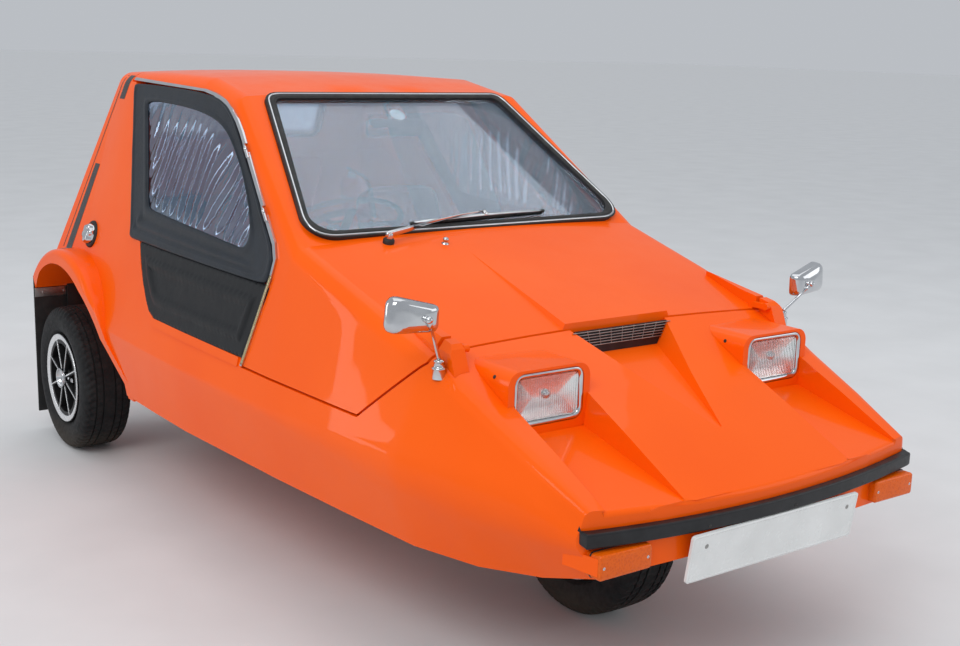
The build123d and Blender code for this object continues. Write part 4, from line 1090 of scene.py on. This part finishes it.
# Door mirrors: a chrome shell on a ball joint, a thin stalk and a ringed base
MIRROR_FOOT = (546, -903, 724)
BALL_RADIUS = 8.5
# The glass as a share of the outline
PANE_SHARE = 0.905
# Columns: side, middle of the head, turn about the upright in degrees
MIRRORS = {"left": (1, (638, -905, 812), 8), "right": (-1, (617, -905, 838), 2)}
# Corners of the head as millimetres outboard and up, with their radii
MIRROR_OUTLINE = [(-63, -44), (64, -38), (57, 46), (-66, 14)]
MIRROR_RADII = [18, 24, 26, 15]
# Shell from the rim of the glass to the back: share of the outline, millimetres forward
MIRROR_SHELL = [
    (0.90, -13), (0.93, -16.5), (0.965, -17.5), (1.0, -16), (1.0, -10), (0.985, -2), (0.95, 5), (0.88, 10.5),
    (0.76, 14.5), (0.58, 17), (0.36, 18.4), (0.15, 19), (0.02, 19.2),
]
MIRROR_BASE = [
    (-34, 15), (-13, 15), (-12, 16.5), (-9, 16.5), (-8, 13), (-6, 12), (3, 11.5), (3.5, 12.5), (6, 12.5),
    (8, 10), (9, 6), (9.3, 0.3), (-34, 0.3),
]


def door_mirror(tag):
    sign, middle, turn = MIRRORS[tag]
    turn = math.radians(turn)
    outboard = Vector((sign * math.cos(turn), math.sin(turn), 0))
    ahead = Vector((sign * math.sin(turn), -math.cos(turn), 0))
    middle = Vector((sign * middle[0], *middle[1:]))
    outline = rounded(MIRROR_OUTLINE, MIRROR_RADII, 8)

    def at(a, b, out):
        return (middle + outboard * a + Vector((0, 0, b)) + ahead * out) * MM

    rows = []
    for share, out in MIRROR_SHELL:
        rows.append([at(a * share, b * share - 3 * (1 - share), out) for a, b in outline])
    solid("mirror_shell_" + tag, rows, CHROME, replaces=("door_mirror_" + tag,))
    pane = [[at(a * PANE_SHARE, b * PANE_SHARE, out) for a, b in outline] for out in (-13.6, -13.2)]
    solid("mirror_glass_" + tag, pane, MIRROR, smooth=False)
    ball = at(-24, -9, 26)
    neck = [(-13, 8), (-7, 8), (-5, 5.5), (0, 5.5), (0, 0.3), (-13, 0.3)]
    turned("mirror_neck_" + tag, neck, ball, ahead, CHROME, steps=20)
    arc = [math.pi * k / 8 for k in range(9)]
    sphere = [(-BALL_RADIUS * math.cos(a), max(0.3, BALL_RADIUS * math.sin(a))) for a in arc]
    turned("mirror_ball_" + tag, sphere, ball, ahead, CHROME, steps=20)
    x, y, z = MIRROR_FOOT
    foot = mm(sign * x, y, z)
    top = foot + mm(0, 0, 6)
    way = (ball - top).normalized()
    stalk = [top, top + way * 0.010, top.lerp(ball, 0.5), ball - way * 0.022, ball - way * 0.020, ball]
    tube("mirror_stalk_" + tag, stalk, [0.0050, 0.0046, 0.0038, 0.0032, 0.0055, 0.0055], CHROME, count=14)
    turned("mirror_base_" + tag, MIRROR_BASE, foot, (0, 0, 1), CHROME, steps=28)


for tag in MIRRORS:
    door_mirror(tag)


# Wiper: cap, pressed arm, and a blade whose rubber lies on the glass
WIPER_PIVOT = Vector((-320, -335, 897)) * MM
WIPER_AXIS = Vector((0, -0.27, 0.963))
BLADE_ENDS = (-215, 242)


def wiper():
    board = screen_board()

    def blade_at(a, out):
        return board.at(a, 38 + (a - 35) * 0.035, out)

    grommet = [(-8, 15), (2, 15), (6, 12), (7, 10.5), (7, 0.3), (-8, 0.3)]
    turned("wiper_grommet", grommet, WIPER_PIVOT, WIPER_AXIS, RUBBER, "canopy", steps=24, replaces=("wiper",))
    spindle = [(2, 9), (17, 9), (20, 8), (21.5, 5), (22, 0.3), (2, 0.3)]
    turned("wiper_spindle", spindle, WIPER_PIVOT, WIPER_AXIS, CHROME, "canopy", steps=24)
    start = WIPER_PIVOT + WIPER_AXIS * 0.017
    joint = board.at(29, 50, 19)
    way = (joint - start).normalized()
    rise = way.cross(board.u.cross(way)).normalized()
    if rise.z < 0:
        rise = -rise
    path = [start - way * 0.012]
    sizes = [(13, 8)]
    for share, lift, width, height in (
        (0.0, 2, 17, 11), (0.10, 3, 17, 11), (0.20, 4, 15, 10), (0.26, 5, 13, 8), (0.262, 5, 10.5, 5.5),
        (0.5, 9, 9, 5), (0.75, 7, 8, 4.5), (0.93, 1, 7, 4), (1.0, -1, 7, 4),
    ):
        path.append(start.lerp(joint, share) + rise * lift * MM)
        sizes.append((width, height))
    taper("wiper_arm", path, rise, sizes, CHROME, "canopy")
    low, high = BLADE_ENDS
    spine = []
    for k in range(25):
        t = k / 12 - 1
        spine.append(blade_at((low + high) / 2 + t * (high - low) / 2 * 0.985, 11.5 + 4.5 * (1 - t * t)))
    ends = [5.0 + 3.5 * min(1.0, (1 - abs(k / 12 - 1)) * 6) for k in range(25)]
    taper("wiper_spine", spine, board.n, [(w, 3.6) for w in ends], CHROME, "canopy")
    lip = [blade_at(low + (high - low) * k / 30, 2.6) for k in range(31)]
    profile = [(-0.0006, -0.0060), (0.0006, -0.0060), (0.0008, -0.0010), (0.0030, 0.0010), (0.0030, 0.0070),
               (-0.0030, 0.0070), (-0.0030, 0.0010), (-0.0008, -0.0010)]
    sweep("wiper_rubber", lip, [board.n] * 31, profile, RUBBER, "canopy")
    for k, a in enumerate((low + 6, low + 100, high - 100, high - 6)):
        clip = [blade_at(a - 8, 9.5), blade_at(a + 8, 9.5)]
        taper(f"wiper_clip_{k}", clip, board.n, [(9, 8)] * 2, RUBBER, "canopy")
    hook = [joint, joint.lerp(blade_at(35, 16), 0.5), blade_at(35, 15)]
    taper("wiper_hook", hook, board.u, [(8, 10), (9, 12), (11, 16)], CHROME, "canopy")
    jet, normal = cast(tree_of("canopy_shell"), mm(-169, -371, 2000), (0, 0, -1))
    profile = [
        (-2, 10), (1.5, 10), (2.5, 6.5), (8, 6), (9, 7.5), (13, 8), (16, 6.5), (17.5, 3), (17.8, 0.3),
        (-2, 0.3),
    ]
    turned("washer_jet", profile, jet, normal, CHROME, "canopy", steps=20)


wiper()


# Black side stripes ahead of the tail's edge
STRIPE_LIFT = 0.0006
TAIL_EDGE = ((1100, 1270), (1390, 592))
# Columns: top and foot of the stripe, its distance from the tail's edge and its width at each
STRIPES = {
    "pin": (1262, 672, 42, 60, 5, 5),
    "upper": (1262, 1186, 66, 70, 42, 44),
    "lower": (968, 672, 72, 92, 42, 52),
}


def stripe(name, sign, z_top, z_low, in_top, in_low, width_top, width_low):
    (edge_y, edge_z), (foot_y, foot_z) = TAIL_EDGE

    def point(s, t):
        z = z_top + (z_low - z_top) * t
        edge = edge_y + (edge_z - z) * (foot_y - edge_y) / (edge_z - foot_z)
        near = edge - (in_top + (in_low - in_top) * t)
        width = width_top + (width_low - width_top) * t
        hit, normal = on_side(near - width * s, z, sign)
        return hit + normal * STRIPE_LIFT

    obj = mesh_piece(name, *net(6, 48, point), STRIPE)
    if sign < 0:
        obj.data.flip_normals()


for tag, sign in SIDES:
    for kind, sizes in STRIPES.items():
        stripe(f"stripe_{kind}_{tag}", sign, *sizes)


# Fuel cap: a lobed chrome knob in a rubber ring
FUEL_CAP = (1050, 745)
CAP_LOBES = 6


def fuel_cap():
    hit, normal = on_side(*FUEL_CAP, -1)

    def lobes(j, a, r):
        return r * (1 + 0.11 * math.cos(CAP_LOBES * a)) if 2 <= j <= 5 else r

    ring = [(-4, 45), (3, 45), (6.5, 43), (8, 39), (7, 35), (4, 33), (-4, 33)]
    turned("fuel_ring", ring, hit, normal, RUBBER, steps=56, replaces=("fuel_cap",))
    knob = [(0, 34), (7, 34), (10, 32), (20, 30), (24.5, 26), (26.5, 18), (27, 8), (27.2, 0.3), (0, 0.3)]
    turned("fuel_knob", knob, hit, normal, CHROME, steps=72, shape=lobes)


fuel_cap()


# Rear: lamps in bright rings, and the metal strips that hold the mudflaps
LAMP_LENS = [(0, 33), (7, 33), (10, 31), (12.5, 24), (13.6, 12), (13.9, 0.3), (0, 0.3)]
LAMP_RING = [(0, 37), (6, 37), (8.5, 36), (9, 34), (7, 33.2), (0, 33.2)]
for tag, sign in SIDES:
    for k, (x, mat) in enumerate(((430, RED), (512, AMBER))):
        place = mm(sign * x, 1390.4, 500)
        lens = turned(f"tail_lens_{tag}_{k}", LAMP_LENS, place, (0, 1, 0), mat)
        turned(f"tail_ring_{tag}_{k}", LAMP_RING, place, (0, 1, 0), CHROME)
    low, high = sorted((sign * 500, sign * 580))
    box_piece("flap_guard_" + tag, (low, 1386, 400), (high, 1388.5, 545), RUBBER, FINE_EDGE)
    low, high = sorted((sign * 558, sign * 690))
    box_piece("flap_strip_" + tag, (low, 1396.8, 480), (high, 1400.2, 512), ALLOY, FINE_EDGE)
    for k, x in enumerate((586, 660)):
        screw(f"flap_rivet_{tag}_{k}", mm(sign * x, 1396.6, 496), (0, -1, 0), 6, ALLOY)
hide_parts("tail_lamps")


# Screws of the lamp pods and of the bumper
for tag, sign in SIDES:
    pod = tree_of("headlamp_pod_" + tag)
    for k, (side, y, z) in enumerate(((sign, -997, 705), (-sign, -987, 702))):
        hit, normal = cast(pod, mm(sign * LAMP[0] + side * 300, y, z), (-side, 0, 0))
        screw(f"pod_screw_{tag}_{k}", hit + normal * 0.0004, normal, 4.5, CHASSIS)
for k, x in enumerate((-420, -207, 48, 292, 440)):
    y = -1406 + x * x / 5410
    screw(f"bumper_screw_{k}", mm(x, y - 0.4, 446 + x * x / 26000), (0, -1, 0), 4, CHASSIS)


# Barrels of the screen hinges on the screens' side, and the worn lower part of the bright strips
BAND = [
    (-0.0062, 0.0046), (-0.0062, 0.0056), (-0.0042, 0.0067), (0, 0.0071), (0.0042, 0.0067),
    (0.0062, 0.0056), (0.0062, 0.0046),
]
HINGE_LOW = Vector((578, -192, 890))
HINGE_HIGH = Vector((516, 114, 1146))
for tag, sign in SIDES:
    line = (HINGE_HIGH - HINGE_LOW).normalized()
    for k, t in enumerate((96.3, 326.3)):
        ends = [HINGE_LOW + line * t, HINGE_LOW + line * (t + 26)]
        ends = [Vector((sign * p.x, p.y, p.z)) * MM for p in ends]
        tube(f"screen_barrel_{tag}_{k}", ends, 0.005, CHROME, "side_screen_" + tag, 16)
    path = [side_point(-212 + (806 - z) * 0.2254, z, sign, 0) for z in range(806, 571, -9)]
    sweep("strip_foot_" + tag, path, [Vector((sign * LEAN_X, 0, LEAN_Z))] * len(path), BAND, BRASS, "canopy")


# Seats: fluted cushions with piping. Seams in millimetres, and the share of the cushion where they end
SEAM_WIDTH = 7
SEAM_DEPTH = 7
SEAM_END = 0.84


def pad(name, board, size, flutes, replaces=()):
    """A stuffed cushion: a rounded box that swells on its face and is sewn down along its flutes."""
    wide, tall, deep = size
    lines = [wide * 0.62 * ((k + 0.5) / flutes - 0.5) for k in range(flutes)]
    sides = []
    for axis in range(3):
        for side in (-1, 1):

            def point(s, t):
                p = [side, s * 2 - 1, t * 2 - 1]
                p = p[-axis:] + p[:-axis]
                norm = sum(abs(c) ** 7 for c in p) ** (1 / 7)
                a, b, out = (c / norm * full / 2 for c, full in zip(p, size))
                if out > 0:
                    u, v = 2 * a / wide, 2 * b / tall
                    out += deep * 0.10 * (1 - u * u) * (1 - v * v)
                    seam = sum(math.exp(-((a - line) / SEAM_WIDTH) ** 2) for line in lines)
                    out -= SEAM_DEPTH * seam * min(1.0, max(0.0, SEAM_END - abs(v)) * 12)
                return board.at(a, b, out)

            sides.append(net(30, 30, point))
    obj = outward(mesh_piece(name, *joined(sides), SEAT, replaces=replaces))
    piping = round_profile(0.0042, 8, deep * 0.47 * MM)
    ring_sweep(name + "_piping", board, rect(wide * 0.93, tall * 0.93, 34), piping, RUBBER, slot="seat_vinyl")


for tag, sign in SIDES:
    x = sign * 368.5
    pad("seat_cushion_" + tag, Board((x, 305, 392), (1, 0, 0), (0, 0.9925, -0.122)), (312, 400, 116), 5,
        ("seat_" + tag,))
    pad("seat_back_" + tag, Board((x, 636, 650), (1, 0, 0), (0, 0.371, 0.928)), (304, 520, 92), 5)
    box_piece("seat_base_" + tag, (x - 142, 125, 320.6), (x + 142, 560, 350), BLACK, 0.01)


# Cabin fittings
TO_TAIL = Vector((0, 1, 0))
UP = Vector((0, 0, 1))
DASH_FACE = -204.8
DIAL_HEIGHT = 757
# The paper disc on the windscreen, across and up from its foot
DISC_PLACE = (-6, 508)


def cabin():
    for k, x in enumerate((-340, -240)):
        place = mm(x, DASH_FACE, DIAL_HEIGHT)
        face = [(0, 34), (4, 34), (4.5, 30), (3.5, 0.3), (0, 0.3)]
        turned(f"dial_face_{k}", face, place, TO_TAIL, DIAL)
        ring = [(0, 38), (5, 38), (7.5, 36.5), (7, 34.5), (0, 34.2)]
        turned(f"dial_ring_{k}", ring, place, TO_TAIL, CHROME)
        needle = [place + mm(0, 4.8, 0), place + mm(-18, 4.8, 18)]
        taper(f"dial_needle_{k}", needle, TO_TAIL, [(2.4, 0.8), (1.0, 0.8)], PAPER)
    switch = [(0, 9), (3, 9), (4, 6), (14, 5), (15.5, 3), (15.8, 0.3), (0, 0.3)]
    for k, x in enumerate((-180, -140, -100, 60, 100)):
        place = mm(x, DASH_FACE, DIAL_HEIGHT - 5)
        turned(f"dash_switch_{k}", switch, place, TO_TAIL, RUBBER, slot="black_trim", steps=20)
    floor, _ = cast(TUB, mm(-111, 330, 800), -UP)
    base = floor + UP * 0.0004
    can = [
        (0, 0.3), (0, 38), (3, 41), (8, 42), (215, 42), (235, 39), (250, 30), (258, 17), (262, 14),
        (262, 0.3),
    ]
    turned("extinguisher", can, base, UP, EXTINGUISHER)
    neck = [(262, 0.3), (262, 13), (276, 13), (278, 9), (290, 9), (290, 0.3)]
    turned("extinguisher_neck", neck, base, UP, ALLOY, slot="engine_metal", steps=24)
    top = base + UP * 0.290
    lever = [top + mm(0, 22, 2), top, top + mm(0, -62, 12)]
    taper("extinguisher_lever", lever, UP, [(14, 9), (16, 10), (16, 5)], BLACK)
    hose = [top + mm(*p) for p in ((12, 0, -12), (44, 0, -16), (56, 0, -80), (54, 0, -200))]
    tube("extinguisher_hose", relax(resample(hose, 16), 6), 0.007, RUBBER)
    for k, z in enumerate((70, 170)):
        band = [(z, 42.3), (z, 43.4), (z + 20, 43.4), (z + 20, 42.3)]
        turned(f"extinguisher_band_{k}", band, base, UP, ALLOY)
    board = screen_board()
    disc = [(-1.2, 24), (0, 24), (0.6, 22), (0.6, 0.3), (-1.2, 0.3)]
    turned("paper_disc", disc, board.at(*DISC_PLACE, -11), board.n, PAPER, "canopy")


cabin()


# Camera at the photograph's viewing angle
CAMERA_PLACE = (-2.0836, -3.1314, 1.3975)
CAMERA_YAW = 36.40
CAMERA_PITCH = 12.147
CAMERA_ROLL = 1.708
FOCAL_PIXELS = 1298.7
FRAME_WIDTH = 960
SENSOR = 36.0


def make_camera():
    yaw, pitch, roll = (math.radians(a) for a in (CAMERA_YAW, CAMERA_PITCH, CAMERA_ROLL))
    ahead = Vector((math.sin(yaw) * math.cos(pitch), math.cos(yaw) * math.cos(pitch), -math.sin(pitch)))
    right = ahead.cross(UP).normalized()
    up = right.cross(ahead)
    turned_right = right * math.cos(roll) + up * math.sin(roll)
    turned_up = up * math.cos(roll) - right * math.sin(roll)
    data = bpy.data.cameras.new("photo_camera")
    data.sensor_width = SENSOR
    data.sensor_fit = "HORIZONTAL"
    data.lens = FOCAL_PIXELS * SENSOR / FRAME_WIDTH
    data.clip_end = 200
    obj = bpy.data.objects.new("photo_camera", data)
    bpy.context.scene.collection.objects.link(obj)
    turn = Matrix((turned_right, turned_up, -ahead)).transposed()
    obj.matrix_world = Matrix.Translation(CAMERA_PLACE) @ turn.to_4x4()
    bpy.context.scene.camera = obj


# Light of the studio: what diffuse rays meet, and the paler or darker backdrop that the eye meets
WORLD_COLOUR = (0.88, 0.92, 0.98)
WORLD_LIGHT = 0.80
BACKDROP = 0.56
FLOOR_SIZE = 90.0
# Columns: name, place, target, size, power
LAMPS = (
    ("key", (-4.5, -2.5, 5.0), (0, 0, 0.5), (4.0, 3.0), 130),
    ("top", (0.5, 0.5, 5.5), (0, 0, 0.5), (5.0, 5.0), 60),
    ("fill", (4.5, -4.0, 2.5), (0, 0, 0.6), (3.0, 3.0), 30),
    ("strip_rear", (-4.4, 3.6, 1.5), (-0.6, 0.3, 1.0), (0.5, 2.6), 12),
)


def make_stage():
    data = bpy.data.meshes.new("floor")
    s = FLOOR_SIZE
    data.from_pydata([(-s, -s, 0), (s, -s, 0), (s, s, 0), (-s, s, 0)], [], [(0, 1, 2, 3)])
    floor = bpy.data.objects.new("floor", data)
    bpy.context.scene.collection.objects.link(floor)
    pale = finish("floor_pale", (0.665, 0.665, 0.66), (0.705, 0.705, 0.70), (0.7, 0.8), scale=3)
    data.materials.append(pale)


def area_light(name, place, target, size, power):
    data = bpy.data.lights.new(name, "AREA")
    data.shape = "RECTANGLE"
    data.size, data.size_y = size
    data.energy = power
    obj = bpy.data.objects.new(name, data)
    bpy.context.scene.collection.objects.link(obj)
    obj.location = place
    obj.rotation_euler = (Vector(target) - Vector(place)).to_track_quat("-Z", "Y").to_euler()


def make_light():
    world = bpy.data.worlds.new("studio")
    bpy.context.scene.world = world
    world.use_nodes = True
    tree = world.node_tree
    seen = add_node(tree, "ShaderNodeLightPath").outputs
    shown = seen["Is Camera Ray"]
    for ray in ("Is Glossy Ray", "Is Transmission Ray"):
        either = add_node(tree, "ShaderNodeMath", {0: shown, 1: seen[ray]}, operation="MAXIMUM")
        shown = either.outputs["Value"]
    levels = {"Value": shown, "To Min": WORLD_LIGHT, "To Max": BACKDROP}
    strength = add_node(tree, "ShaderNodeMapRange", levels).outputs["Result"]
    feed(tree, tree.nodes["Background"], {"Color": (*WORLD_COLOUR, 1), "Strength": strength})
    for lamp in LAMPS:
        area_light(*lamp)
    bpy.context.scene.view_settings.view_transform = "Standard"


make_camera()
make_stage()
make_light()
